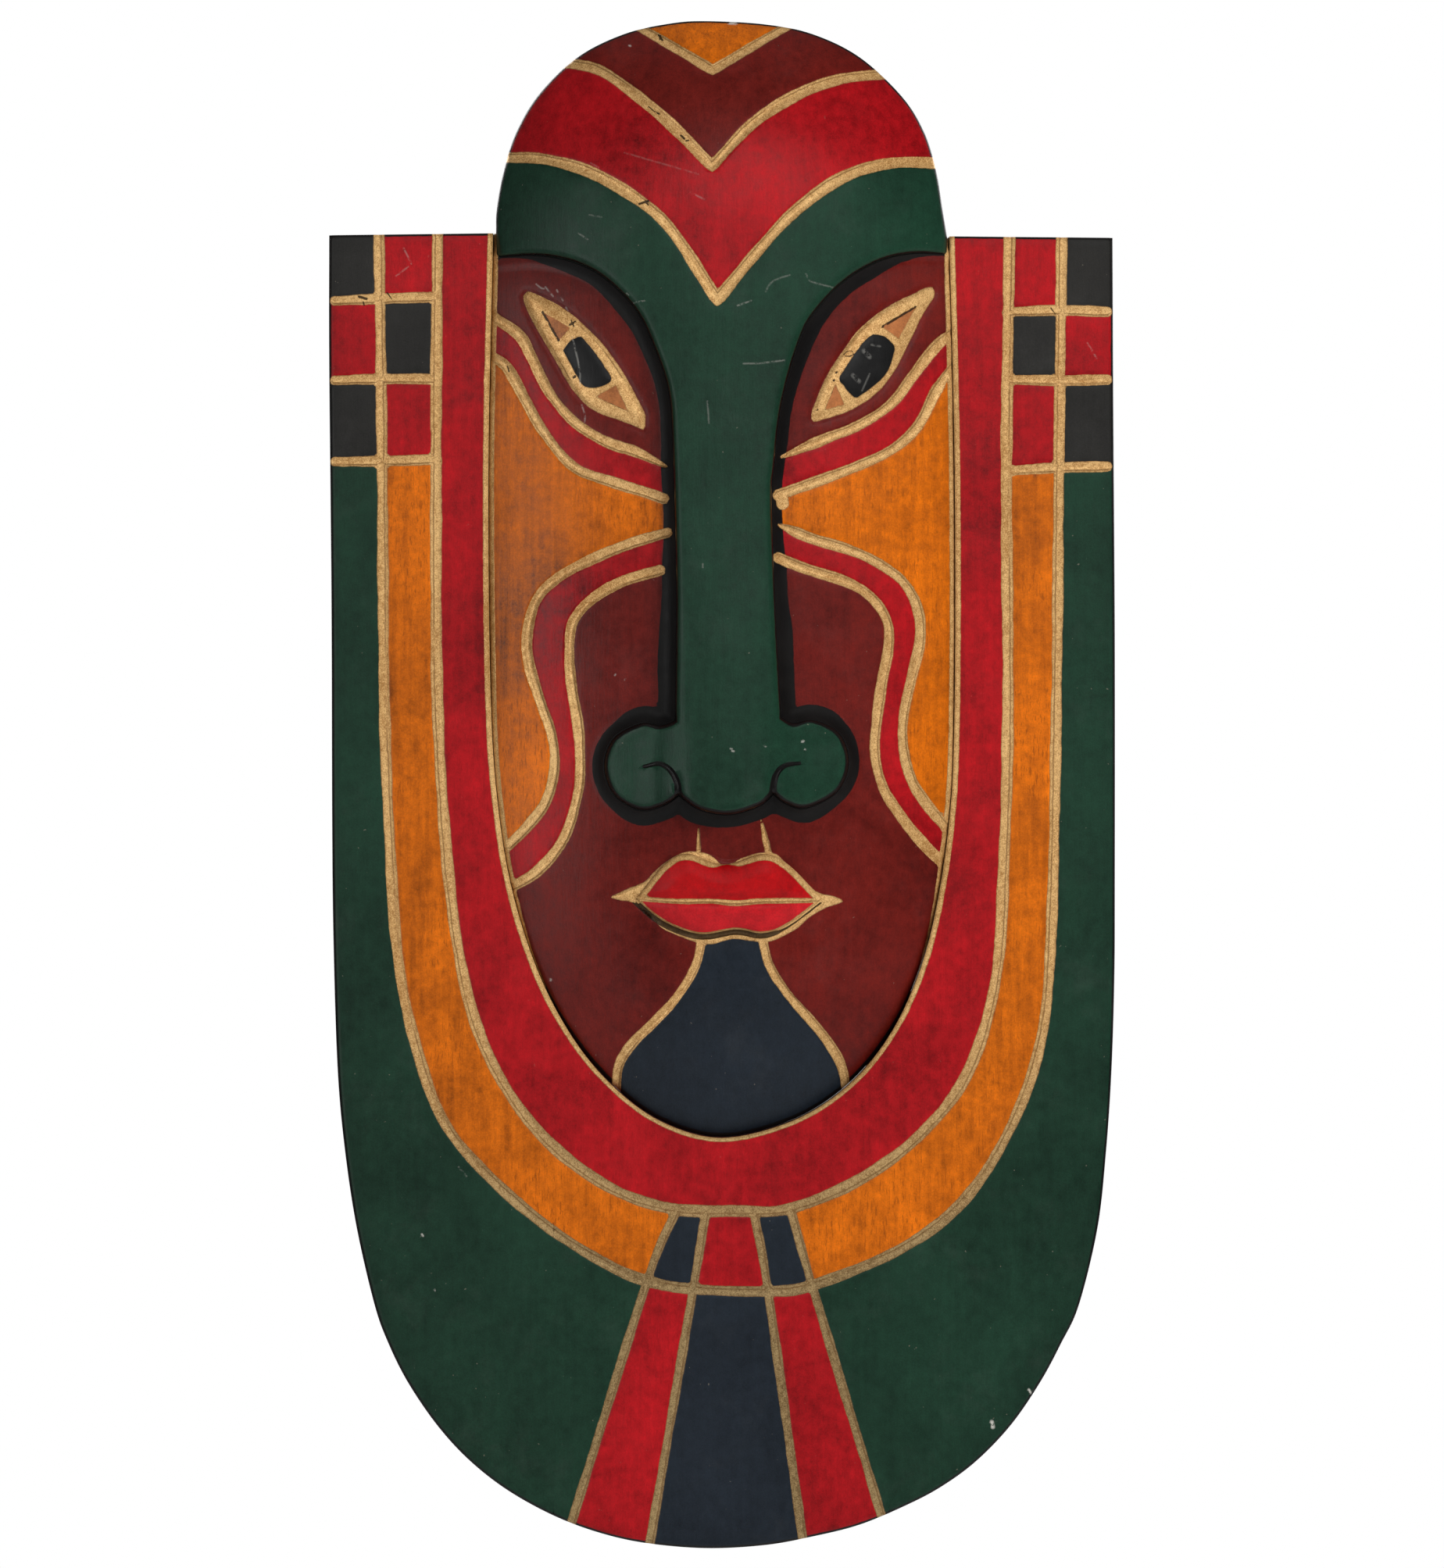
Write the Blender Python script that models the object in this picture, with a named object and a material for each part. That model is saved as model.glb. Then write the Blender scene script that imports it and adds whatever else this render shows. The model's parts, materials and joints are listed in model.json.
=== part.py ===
"""Carved and painted folk art wall mask, 1.00 m tall, built up from wooden pieces on two battens.

The face looks along -Y and stands upright along Z. The wall is the plane y = 0, and the origin is
the middle of the rear face of the upper batten. Lengths below are millimetres: depths are measured
from the wall towards the viewer, and outlines are (across, up) pairs in the plane of the face.
"""
import bmesh
import bpy
import numpy as np
from math import cos, pi, sin
from mathutils import Vector
from mathutils.geometry import delaunay_2d_cdt

MM = 0.001
GAP = 0.3            # between two pieces that touch

# depths from the wall
BATTEN_FRONT = 20.0
BACK = BATTEN_FRONT + GAP        # rear of the boards and of the face
COLLAR_FRONT = 44.3
RIM_SIDE, RIM_CHIN, RIM_DOME = 42.5, 33.0, 32.0
FACE_BULGE = 27.0
DOME_RIM, DOME_BULGE = 45.0, 41.0
HOLLOW_WALL = 15.0
BROW_ROUNDING = 4.5              # radius along the cut edge of brows and nose

# main measures in the plane of the face
FACE_HALF_WIDTH = 152.0
DOME_BASE_Z, DOME_TOP_Z = 50.0, 191.0
CHEEK_Z, CHIN_Z = -300.0, -541.0
SEAM_X = 110.0
BATTEN_HEIGHT = 50.0
LOWER_BATTEN_Z = -470.0

# fixings
SCREW_SHANK, SCREW_HEAD = 2.0, 4.2           # radii
SCREW_LENGTH = 35.0
SUNK = 0.9                                   # head below the batten's face
DOWEL_RADIUS, DOWEL_LENGTH = 4.0, 44.0
DOWEL_Z = (-585.0, -715.0)
PAD_RADIUS, PAD_THICK, PAD_X = 11.0, 2.0, 150.0

# hanging hardware
HANGER_X, HANGER_Z = 205.0, -60.0            # middle of the ring's hinge pin
STRAP_WIDTH, STRAP_THICK, STRAP_LENGTH = 13.0, 1.2, 44.0
STRAP_HOLES = (14.6, 34.5)       # below the pin
RING_WIRE, RING_HALF_WIDTH, RING_DROP = 1.4, 11.0, 20.0
EYE_INNER = RING_WIRE + GAP
HINGE_DEPTH = BACK - GAP - STRAP_THICK - EYE_INNER


# ---------------------------------------------------------------- outlines

DOME = [(-147.5, 52.0), (-147.0, 68.0), (-142.6, 92.0), (-134.5, 117.8), (-119.3, 143.4),
        (-93.7, 167.9), (-63.0, 183.0), (-32.3, 189.7), (-9.0, 191.0), (29.2, 188.8),
        (59.9, 182.6), (90.6, 167.6), (118.5, 141.5), (133.1, 117.8), (140.8, 92.2),
        (145.0, 66.6), (148.0, 48.6)]
CUTOUT = [(-149.5, 52.0), (-152.6, -102.0), (-151.0, -256.0), (-145.5, -330.0), (-135.5, -385.0),
          (-118.0, -437.0), (-95.0, -479.0), (-68.0, -510.0), (-38.0, -531.0), (-2.0, CHIN_Z),
          (37.0, -533.5), (70.0, -517.0), (98.0, -491.0), (121.0, -454.0), (138.0, -404.0),
          (149.5, -333.0), (153.0, -256.0), (153.0, -102.0), (149.5, 50.0)]
COLLAR_EDGE = [(-257.0, 50.7), (-257.0, -30.0), (-255.5, -190.0), (-255.0, -343.0), (-254.0, -420.0),
               (-251.4, -496.6), (-246.8, -547.8), (-239.1, -599.0), (-227.3, -650.2),
               (-218.1, -675.8), (-205.3, -701.4), (-186.5, -729.0), (-165.5, -752.0),
               (-140.0, -772.0), (-109.0, -789.0), (-78.3, -800.3), (-47.6, -806.9),
               (-9.0, -810.0), (29.2, -807.9), (60.0, -802.3), (90.6, -794.6), (121.3, -781.8),
               (144.5, -769.5), (167.4, -752.6), (190.0, -729.0), (208.9, -701.4),
               (222.7, -675.8), (234.5, -650.2), (246.8, -599.0), (252.4, -547.8),
               (255.8, -496.6), (257.7, -435.0), (258.0, -370.0), (258.0, -215.0),
               (257.0, -60.0), (256.5, 49.0)]
BROW_LEFT = [(-147.0, 36.0), (-121.0, 37.0), (-96.0, 32.0), (-75.0, 20.5), (-55.0, -0.5),
             (-42.5, -26.6), (-34.3, -53.0), (-31.7, -85.5), (-29.3, -180.0), (-30.0, -268.0)]
WING_LEFT = [(-30.0, -268.0), (-40.0, -271.0), (-52.0, -269.5), (-70.0, -279.0), (-76.5, -297.0),
             (-70.0, -316.0), (-53.0, -326.0), (-38.0, -323.0), (-27.6, -316.4)]
NOSE_TIP = [(-27.6, -316.4), (-13.8, -325.6), (5.6, -328.7), (25.0, -323.0), (33.8, -315.4)]
WING_RIGHT = [(33.8, -315.4), (43.0, -322.0), (56.0, -324.5), (76.0, -314.0), (83.5, -295.0),
              (77.0, -276.0), (60.0, -267.5), (47.0, -269.5), (39.0, -266.0)]
BROW_RIGHT = [(39.0, -266.0), (35.3, -196.0), (32.8, -123.0), (34.3, -102.0), (39.4, -60.0),
              (52.2, -16.0), (65.0, 4.0), (82.4, 21.0), (104.0, 33.3), (125.4, 38.4), (147.7, 37.9)]
UPPER_LIP = [(-56.0, -384.0), (-36.4, -360.4), (-21.0, -354.6), (1.5, -361.5), (27.0, -354.6),
             (43.0, -361.0), (66.0, -384.0)]
LOWER_LIP = [(66.0, -384.0), (42.5, -401.4), (26.6, -406.5), (9.7, -404.0), (-14.0, -407.0),
             (-37.4, -398.8), (-56.0, -384.0)]


def smooth(points, step):
    """An open curve through the points (Catmull-Rom), sampled about every step millimetres."""
    knots = [np.array(p) for p in points]
    ends = [2 * knots[0] - knots[1]] + knots + [2 * knots[-1] - knots[-2]]
    found = []
    for a, b, c, d in zip(ends, ends[1:], ends[2:], ends[3:]):
        count = max(1, round(np.linalg.norm(c - b) / step))
        for t in np.arange(count) / count:
            tangents = (c - a) * t + (2 * a - 5 * b + 4 * c - d) * t**2 + (3 * b - a - 3 * c + d) * t**3
            found.append(b + tangents / 2)
    found.append(knots[-1])
    return np.array(found)


def joined(*curves):
    """One open curve from curves laid end to end, each starting where the last one stops."""
    return np.concatenate([curves[0]] + [curve[1:] for curve in curves[1:]])


def chain(*curves):
    """One closed loop from open curves laid end to end."""
    loop = np.concatenate(curves)
    apart = np.linalg.norm(loop - np.roll(loop, 1, axis=0), axis=1)
    return loop[apart > 0.2]


def shifted(curve, distance):
    """The open curve moved sideways, to the left of its direction of travel."""
    along = np.gradient(curve, axis=0)
    across = np.stack([-along[:, 1], along[:, 0]], axis=1)
    return curve + distance * across / np.linalg.norm(across, axis=1, keepdims=True)


def distance_to(points, curve):
    """Shortest distance from each point to the polyline."""
    starts, spans = curve[:-1], np.diff(curve, axis=0)
    offsets = points[:, None, :] - starts[None, :, :]
    share = np.clip((offsets * spans).sum(2) / (spans**2).sum(1), 0, 1)
    return np.linalg.norm(offsets - share[:, :, None] * spans, axis=2).min(axis=1)


def is_inside(points, loop):
    """Which points lie within the closed loop."""
    x, y = points[:, 0, None], points[:, 1, None]
    ax, ay = loop[:, 0], loop[:, 1]
    bx, by = np.roll(ax, -1), np.roll(ay, -1)
    straddles = (ay > y) != (by > y)
    rise = np.where(by == ay, 1.0, by - ay)
    return (straddles & (x < ax + (y - ay) * (bx - ax) / rise)).sum(axis=1) % 2 == 1


# ---------------------------------------------------------------- carved surfaces

def ramp(value, low, high):
    """0 below low, 1 above high, and a smooth rise between them."""
    t = np.clip((value - low) / (high - low), 0, 1)
    return t * t * (3 - 2 * t)


def roundness(p):
    """0 on the middle of the face, 1 on the rim of the long oval."""
    above = np.maximum(p[:, 1] - DOME_BASE_Z, 0) / (DOME_TOP_Z - DOME_BASE_Z)
    below = np.maximum(CHEEK_Z - p[:, 1], 0) / (CHEEK_Z - CHIN_Z)
    return np.sqrt((p[:, 0] / FACE_HALF_WIDTH) ** 2 + above**2 + below**2)


def face_front(p):
    """Depth of the lower layer: cheeks, eye sockets and chin, with a gouged dish round the mouth."""
    rim = RIM_SIDE - (RIM_SIDE - RIM_CHIN) * ramp(-p[:, 1], -CHEEK_Z, -CHIN_Z)
    rim = rim - (RIM_SIDE - RIM_DOME) * ramp(p[:, 1], 10, DOME_BASE_Z + 40)
    mouth = ((p[:, 0] - 4) / 62) ** 2 + ((p[:, 1] + 381) / 34) ** 2
    return rim + FACE_BULGE * (1 - roundness(p) ** 2.4) - 4.5 * np.exp(-mouth)


def brow_front(p, edge):
    """Depth of the raised layer: forehead dome, brows and nose, rounded over along its cut edge."""
    depth = DOME_RIM + DOME_BULGE * (1 - roundness(p) ** 2.6)
    down = ramp(-p[:, 1], 20, 320)
    depth = depth + 9 * down - 3.5 * down * np.minimum(np.abs(p[:, 0]) / 33, 1.3) ** 2
    depth = depth - 8 * ramp(-p[:, 1], 255, 285) * ramp(np.abs(p[:, 0] - 3), 22, 62)
    reach = np.clip(distance_to(p, edge) / BROW_ROUNDING, 0, 1)
    return depth - BROW_ROUNDING * (1 - np.sqrt(1 - (1 - reach) ** 2))


def lips_front(p):
    """Depth of the lips: two rolls that meet in a shallow valley and thin out to the corners."""
    top = smooth(UPPER_LIP, 4)
    bottom = smooth(LOWER_LIP, 4)
    above, below = distance_to(p, top), distance_to(p, bottom)
    roll = np.sqrt(np.clip(np.minimum(above, below) / 13.0, 0, 1))
    valley = np.exp(-(((p[:, 1] + 384) / 3.5) ** 2))
    taper = 1 - 0.55 * (np.abs(p[:, 0] - 5) / 61) ** 3
    return face_front(p) + 3.0 + (9.0 * roll - 3.0 * valley) * taper


# ---------------------------------------------------------------- building solids

def paint(name, colour, roughness, metallic=0.0):
    """A surface finish."""
    material = bpy.data.materials.new(name)
    material.use_nodes = True
    shader = material.node_tree.nodes["Principled BSDF"]
    shader.inputs["Base Color"].default_value = (*colour, 1.0)
    shader.inputs["Roughness"].default_value = roughness
    shader.inputs["Metallic"].default_value = metallic
    material.diffuse_color = (*colour, 1.0)
    return material


def finish(name, mesh, material, place=(0.0, 0.0, 0.0), cutter=False):
    """The object for a bmesh drawn in millimetres, set down at a place given as (x, depth, z)."""
    bmesh.ops.recalc_face_normals(mesh, faces=mesh.faces)
    bmesh.ops.scale(mesh, vec=(MM, MM, MM), verts=mesh.verts)
    data = bpy.data.meshes.new(name)
    mesh.to_mesh(data)
    mesh.free()
    data.shade_smooth()
    data.set_sharp_from_angle(angle=pi / 5)
    obj = bpy.data.objects.new(name, data)
    obj.location = (place[0] * MM, -place[1] * MM, place[2] * MM)
    bpy.context.scene.collection.objects.link(obj)
    if cutter:
        obj.hide_render = True
        obj.display_type = "WIRE"
    else:
        data.materials.append(material)
    return obj


def carved(name, loop, front, back, material, step, extra=(), cutter=False):
    """A solid on the closed loop, out to the depth front(points).

    It starts at the depth back(points), or from a flat rear at the depth back.
    """
    low, high = loop.min(axis=0), loop.max(axis=0)
    across = np.arange(low[0] + step * 0.37, high[0], step)
    up = np.arange(low[1] + step * 0.41, high[1], step * 0.87)
    grid = np.array([(x + (row % 2) * step / 2, z) for row, z in enumerate(up) for x in across])
    closed = np.concatenate([loop, loop[:1]])
    grid = grid[is_inside(grid, loop)]
    grid = grid[distance_to(grid, closed) > step * 0.55]
    for ring in extra:
        grid = grid[distance_to(grid, ring) > step * 0.45]
        ring = ring[is_inside(ring, loop)]
        grid = np.concatenate([grid, ring[distance_to(ring, closed) > 0.5]])
    points = np.concatenate([loop, grid])
    edges = [(i, (i + 1) % len(loop)) for i in range(len(loop))]
    flat, _, faces, *_ = delaunay_2d_cdt([Vector(p) for p in points], edges, [], 1, 1e-4)
    flat = np.array([tuple(p) for p in flat])
    mesh = bmesh.new()
    near = [mesh.verts.new((x, -d, z)) for (x, z), d in zip(flat, front(flat))]
    for face in faces:
        mesh.faces.new([near[i] for i in face])
    rims = [edge.verts[:] for edge in mesh.edges if edge.is_boundary]
    if callable(back):
        far = [mesh.verts.new((x, -d, z)) for (x, z), d in zip(flat, back(flat))]
        for face in faces:
            mesh.faces.new([far[i] for i in reversed(face)])
    else:
        far = [mesh.verts.new((x, -back, z)) for x, z in loop]
        mesh.faces.new(reversed(far))
    partner = dict(zip(near, far))
    for a, b in rims:
        mesh.faces.new((a, b, partner[b], partner[a]))
    return finish(name, mesh, material, cutter=cutter)


def lathe(profile, axis, sides=16):
    """A turned solid round the origin: profile holds (position along the axis, radius)."""
    mesh = bmesh.new()
    rings = []
    for position, radius in profile:
        ring = []
        for i in range(sides):
            u, v = radius * cos(2 * pi * i / sides), radius * sin(2 * pi * i / sides)
            ring.append(mesh.verts.new((position, u, v) if axis == "x" else (u, position, v)))
        rings.append(ring)
    for first, second in zip(rings, rings[1:]):
        for i in range(sides):
            j = (i + 1) % sides
            mesh.faces.new((first[i], first[j], second[j], second[i]))
    mesh.faces.new(rings[0])
    mesh.faces.new(rings[-1])
    return mesh


def cut(obj, cutter):
    """Takes the cutter's shape out of the object."""
    modifier = obj.modifiers.new("cut_" + cutter.name, "BOOLEAN")
    modifier.operation = "DIFFERENCE"
    modifier.solver = "EXACT"
    modifier.object = cutter


def ease_edges(obj, width):
    modifier = obj.modifiers.new("eased_edges", "BEVEL")
    modifier.width = width * MM
    modifier.segments = 1
    modifier.limit_method = "ANGLE"
    modifier.angle_limit = pi / 4


# ---------------------------------------------------------------- the pieces

def face_loop():
    """The long oval of the face: dome above, chin below, clear of the collar all round."""
    return chain(smooth(DOME, 11)[::-1], shifted(smooth(CUTOUT, 13), GAP * 1.35))


def brow_edge():
    """The cut lower edge of brows and nose, from the left end to the right end."""
    return joined(smooth(BROW_LEFT, 8), smooth(WING_LEFT, 5), smooth(NOSE_TIP, 5),
                  smooth(WING_RIGHT, 5), smooth(BROW_RIGHT, 8))


def make_face(wood):
    obj = carved("face_shell", face_loop(), face_front, BACK, wood, 13)
    angles = np.arange(40) * 2 * pi / 40
    across = np.sign(np.cos(angles)) * np.abs(np.cos(angles)) ** 0.75 * 118
    up = np.sign(np.sin(angles)) * np.abs(np.sin(angles)) ** 0.75 * 190 - 238
    hollow = np.stack([across, up], axis=1)
    cut(obj, carved("face_hollow_cutter", hollow, lambda p: face_front(p) - HOLLOW_WALL,
                    BACK - 10, None, 22, cutter=True))
    return obj


def make_brow_and_nose(wood):
    dome = smooth(DOME, 9)[::-1]
    edge = brow_edge()
    loop = chain(dome, edge)
    rings = [shifted(edge, inset) for inset in (0.8, 2.2, BROW_ROUNDING)]
    return carved("brow_and_nose", loop, lambda p: brow_front(p, edge),
                  lambda p: face_front(p) + 0.4, wood, 10, extra=rings)


def make_lips(wood):
    loop = chain(smooth(UPPER_LIP, 6)[::-1], smooth(LOWER_LIP, 6)[::-1])
    middle = smooth([(-46.0, -384.0), (5.0, -384.5), (56.0, -384.0)], 6)
    return carved("lips", loop, lips_front, lambda p: face_front(p) + 0.4, wood, 7, extra=[middle])


def split(curve, x, side):
    """The part of the curve on one side of the upright line at x, with its end on the line."""
    keep = (curve[:, 0] - x) * side > 0.5
    kept = curve[keep]
    at_start = not keep[0]
    first, last = (kept[0], curve[np.argmax(keep) - 1]) if at_start else (kept[-1], curve[keep.sum()])
    share = (x - first[0]) / (last[0] - first[0])
    end = first + share * (last - first)
    return np.concatenate([[end], kept] if at_start else [kept, [end]])


def seam_line(x, upper, lower):
    """Points down a glued seam, with one just inside the rounded outer edge."""
    heights = np.linspace(upper, lower + 4.0, 8)
    return np.array([(x, z) for z in heights])


def collar_front(p):
    """Depth of the collar: flat, and eased over along its outer edge."""
    reach = np.clip(distance_to(p, smooth(COLLAR_EDGE, 12)) / 3.0, 0, 1)
    return COLLAR_FRONT - 2.0 * (1 - reach) ** 2


def make_collar(wood):
    cutout = smooth(CUTOUT, 11)
    outer = smooth(COLLAR_EDGE, 14)
    wide, narrow = SEAM_X + GAP / 2, SEAM_X - GAP / 2
    side_in, side_out = split(cutout, -wide, -1), split(outer, -wide, -1)
    foot_in = split(split(cutout, -narrow, 1), narrow, -1)
    foot_out = split(split(outer, -narrow, 1), narrow, -1)
    far_in, far_out = split(cutout, wide, 1), split(outer, wide, 1)
    loops = {
        "collar_board_left": chain(
            side_in, seam_line(-wide, side_in[-1, 1], side_out[-1, 1]), side_out[::-1]),
        "collar_board_foot": chain(
            foot_in, seam_line(narrow, foot_in[-1, 1], foot_out[-1, 1]),
            foot_out[::-1], seam_line(-narrow, foot_in[0, 1], foot_out[0, 1])[::-1]),
        "collar_board_right": chain(
            far_in, far_out[::-1], seam_line(wide, far_in[0, 1], far_out[0, 1])[::-1]),
    }
    ring = shifted(outer, 3.0)
    boards = {}
    for name, loop in loops.items():
        boards[name] = carved(name, loop, collar_front, BACK, wood, 40, extra=[ring])
    return boards


def make_dowels(wood, boards):
    """Round pins across each glued seam of the collar, blind in both boards."""
    half, radius = DOWEL_LENGTH / 2, DOWEL_RADIUS
    pin = [(-half, radius - 0.8), (-half + 1, radius), (half - 1, radius), (half, radius - 0.8)]
    bore = [(-half - 1, radius + GAP), (half + 1, radius + GAP)]
    for side, letter in ((-1, "left"), (1, "right")):
        for number, z in enumerate(DOWEL_Z, 1):
            place = (side * SEAM_X, (BACK + COLLAR_FRONT) / 2, z)
            finish(f"dowel_{letter}_{number}", lathe(pin, "x"), wood, place)
            cutter = finish(f"dowel_bore_{letter}_{number}", lathe(bore, "x"), None, place, True)
            cut(boards[f"collar_board_{letter}"], cutter)
            cut(boards["collar_board_foot"], cutter)


def make_batten(name, z, half_length, rear, wood):
    """A flat bar across the back, its front face against the boards."""
    mesh = bmesh.new()
    made = bmesh.ops.create_cube(mesh, size=1.0)["verts"]
    size = (2 * half_length, BATTEN_FRONT - rear, BATTEN_HEIGHT)
    bmesh.ops.scale(mesh, vec=size, verts=made)
    obj = finish(name, mesh, wood, (0.0, (rear + BATTEN_FRONT) / 2, z))
    ease_edges(obj, 1.5)
    return obj


def make_batten_screws(label, z, rear, places, batten, steel):
    """Countersunk screws driven from the rear through the batten into each piece at the given x."""
    neck = -SUNK - SCREW_HEAD * 0.55
    screw = [(-SUNK + 0.4, SCREW_HEAD), (-SUNK, SCREW_HEAD), (neck, SCREW_SHANK),
             (-SCREW_LENGTH + 3, SCREW_SHANK), (-SCREW_LENGTH, 0.5)]
    bore = [(1.0, SCREW_HEAD + GAP), (-SUNK, SCREW_HEAD + GAP), (neck - GAP, SCREW_SHANK + GAP),
            (-SCREW_LENGTH - 1, SCREW_SHANK + GAP)]
    for number, (x, held) in enumerate(places, 1):
        place = (x, rear, z)
        finish(f"batten_screw_{label}_{number}", lathe(screw, "y", 14), steel, place)
        cutter = finish(f"batten_bore_{label}_{number}", lathe(bore, "y", 14), None, place, True)
        cut(batten, cutter)
        cut(held, cutter)


def make_wall_pads(felt):
    """Felt discs on the lower batten, which bear on the wall."""
    disc = [(0.0, PAD_RADIUS - 0.5), (-0.5, PAD_RADIUS), (-PAD_THICK, PAD_RADIUS)]
    for x, letter in ((-PAD_X, "left"), (PAD_X, "right")):
        finish(f"wall_pad_{letter}", lathe(disc, "y", 24), felt, (x, 0.0, LOWER_BATTEN_Z))


def make_strap(name, place, brass):
    """A flat strap hanging from the eye that is rolled round the ring's pin, at the place."""
    outer = EYE_INNER + STRAP_THICK
    front = BACK - GAP - HINGE_DEPTH
    profile = [(front - STRAP_THICK, -3.0), (front - STRAP_THICK, -STRAP_LENGTH),
               (front, -STRAP_LENGTH), (front, 0.0)]
    for step in range(1, 15):
        profile.append((outer * cos(step * pi / 8), outer * sin(step * pi / 8)))
    mesh = bmesh.new()
    side = mesh.faces.new([mesh.verts.new((-STRAP_WIDTH / 2, -depth, z)) for depth, z in profile])
    grown = bmesh.ops.extrude_face_region(mesh, geom=[side])["geom"]
    moved = [item for item in grown if isinstance(item, bmesh.types.BMVert)]
    bmesh.ops.translate(mesh, vec=(STRAP_WIDTH, 0, 0), verts=moved)
    strap = finish(name, mesh, brass, place)
    eye = [(-STRAP_WIDTH, EYE_INNER), (STRAP_WIDTH, EYE_INNER)]
    cut(strap, finish(name + "_eye", lathe(eye, "x", 20), None, place, True))
    return strap


def make_hanger(side, letter, board, brass, steel):
    """A strap screwed to the back of a board, and the ring that swings in its eye."""
    strap = make_strap(f"hanger_strap_{letter}", (side * HANGER_X, HINGE_DEPTH, HANGER_Z), brass)
    screw = [(GAP + 0.9, 1.9), (GAP + 0.5, 2.8), (GAP, 3.0), (GAP, 1.5), (-13.0, 1.5), (-16.0, 0.4)]
    bore = [(3.0, 1.5 + GAP), (-17.0, 1.5 + GAP)]
    for number, drop in enumerate(STRAP_HOLES, 1):
        place = (side * HANGER_X, BACK - GAP - STRAP_THICK, HANGER_Z - drop)
        finish(f"hanger_screw_{letter}_{number}", lathe(screw, "y", 12), steel, place)
        cutter = finish(f"hanger_bore_{letter}_{number}", lathe(bore, "y", 12), None, place, True)
        cut(strap, cutter)
        cut(board, cutter)
    make_ring(side * HANGER_X, letter, brass)


def make_ring(x, letter, brass):
    """A D-shaped wire ring, its straight side lying in the strap's eye, hanging straight down."""
    curve = bpy.data.curves.new(f"hanger_ring_{letter}", "CURVE")
    curve.dimensions = "3D"
    curve.bevel_depth = RING_WIRE * MM
    curve.bevel_resolution = 2
    curve.use_fill_caps = True
    path = [(-RING_HALF_WIDTH, 0.0), (0.0, 0.0), (RING_HALF_WIDTH, 0.0)]
    for step in range(0, 13):
        angle = pi * step / 12
        path.append((RING_HALF_WIDTH * cos(angle) * 1.04, -3.5 - (RING_DROP - 3.5) * sin(angle)))
    spline = curve.splines.new("POLY")
    spline.points.add(len(path) - 1)
    for point, (across, up) in zip(spline.points, path):
        point.co = (across * MM, 0.0, up * MM, 1.0)
    spline.use_cyclic_u = True
    ring = bpy.data.objects.new(f"hanger_ring_{letter}", curve)
    ring.location = (x * MM, -HINGE_DEPTH * MM, HANGER_Z * MM)
    bpy.context.scene.collection.objects.link(ring)
    curve.materials.append(brass)


def main():
    for obj in list(bpy.data.objects):
        bpy.data.objects.remove(obj)
    painted = paint("painted_wood", (0.035, 0.075, 0.05), 0.45)
    red = paint("lip_paint", (0.45, 0.02, 0.03), 0.35)
    maroon = paint("face_paint", (0.14, 0.025, 0.025), 0.45)
    raw = paint("bare_pine", (0.55, 0.36, 0.18), 0.7)
    beech = paint("dowel_beech", (0.66, 0.48, 0.30), 0.6)
    steel = paint("zinc_screw", (0.55, 0.53, 0.48), 0.35, 1.0)
    brass = paint("brassed_steel", (0.62, 0.45, 0.2), 0.35, 1.0)
    felt = paint("felt", (0.05, 0.05, 0.05), 0.95)
    face = make_face(maroon)
    make_brow_and_nose(painted)
    make_lips(red)
    boards = make_collar(painted)
    make_dowels(beech, boards)
    left, right = boards["collar_board_left"], boards["collar_board_right"]
    upper = make_batten("batten_upper", 0.0, 232.0, 0.0, raw)
    make_batten_screws("upper", 0.0, 0.0, [(-200, left), (-80, face), (80, face), (200, right)],
                       upper, steel)
    lower_rear = PAD_THICK + GAP
    lower = make_batten("batten_lower", LOWER_BATTEN_Z, 222.0, lower_rear, raw)
    make_batten_screws("lower", LOWER_BATTEN_Z, lower_rear,
                       [(-185, left), (-50, face), (50, face), (185, right)], lower, steel)
    make_wall_pads(felt)
    make_hanger(-1, "left", left, brass, steel)
    make_hanger(1, "right", right, brass, steel)


main()
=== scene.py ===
"""Looks of the carved and painted wall mask, built round its CAD frame.

Every shape is drawn in millimetres: outlines are (across, up) pairs in the plane of the face, and depths
are measured from the wall towards the viewer, so a point (x, z) at depth d lies at (x, -d, z) / 1000.
"""
import json
from math import cos, pi, radians, sin

import bmesh
import bpy
import numpy as np
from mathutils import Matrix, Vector
from mathutils.geometry import delaunay_2d_cdt


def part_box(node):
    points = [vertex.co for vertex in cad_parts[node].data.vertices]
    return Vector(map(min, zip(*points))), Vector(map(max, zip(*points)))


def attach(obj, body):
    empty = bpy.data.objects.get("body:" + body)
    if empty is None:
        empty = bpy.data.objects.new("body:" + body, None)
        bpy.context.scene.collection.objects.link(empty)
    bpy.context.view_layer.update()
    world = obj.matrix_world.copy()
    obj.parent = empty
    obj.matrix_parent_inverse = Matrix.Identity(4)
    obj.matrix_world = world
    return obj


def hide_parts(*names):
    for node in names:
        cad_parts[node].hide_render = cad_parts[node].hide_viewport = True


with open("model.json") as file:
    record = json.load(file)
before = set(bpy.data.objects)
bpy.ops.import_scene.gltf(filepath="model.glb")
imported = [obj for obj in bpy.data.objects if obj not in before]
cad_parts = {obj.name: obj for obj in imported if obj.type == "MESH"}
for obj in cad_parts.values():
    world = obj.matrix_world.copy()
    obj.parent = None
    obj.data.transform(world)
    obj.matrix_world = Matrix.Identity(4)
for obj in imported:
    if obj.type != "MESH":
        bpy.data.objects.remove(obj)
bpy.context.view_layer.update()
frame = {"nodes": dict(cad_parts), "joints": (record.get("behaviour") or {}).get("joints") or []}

MM = 0.001
BACK = 20.3
COLLAR_FRONT = 44.3
RIM_SIDE, RIM_CHIN, RIM_DOME = 42.5, 33.0, 32.0
FACE_BULGE = 27.0
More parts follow.
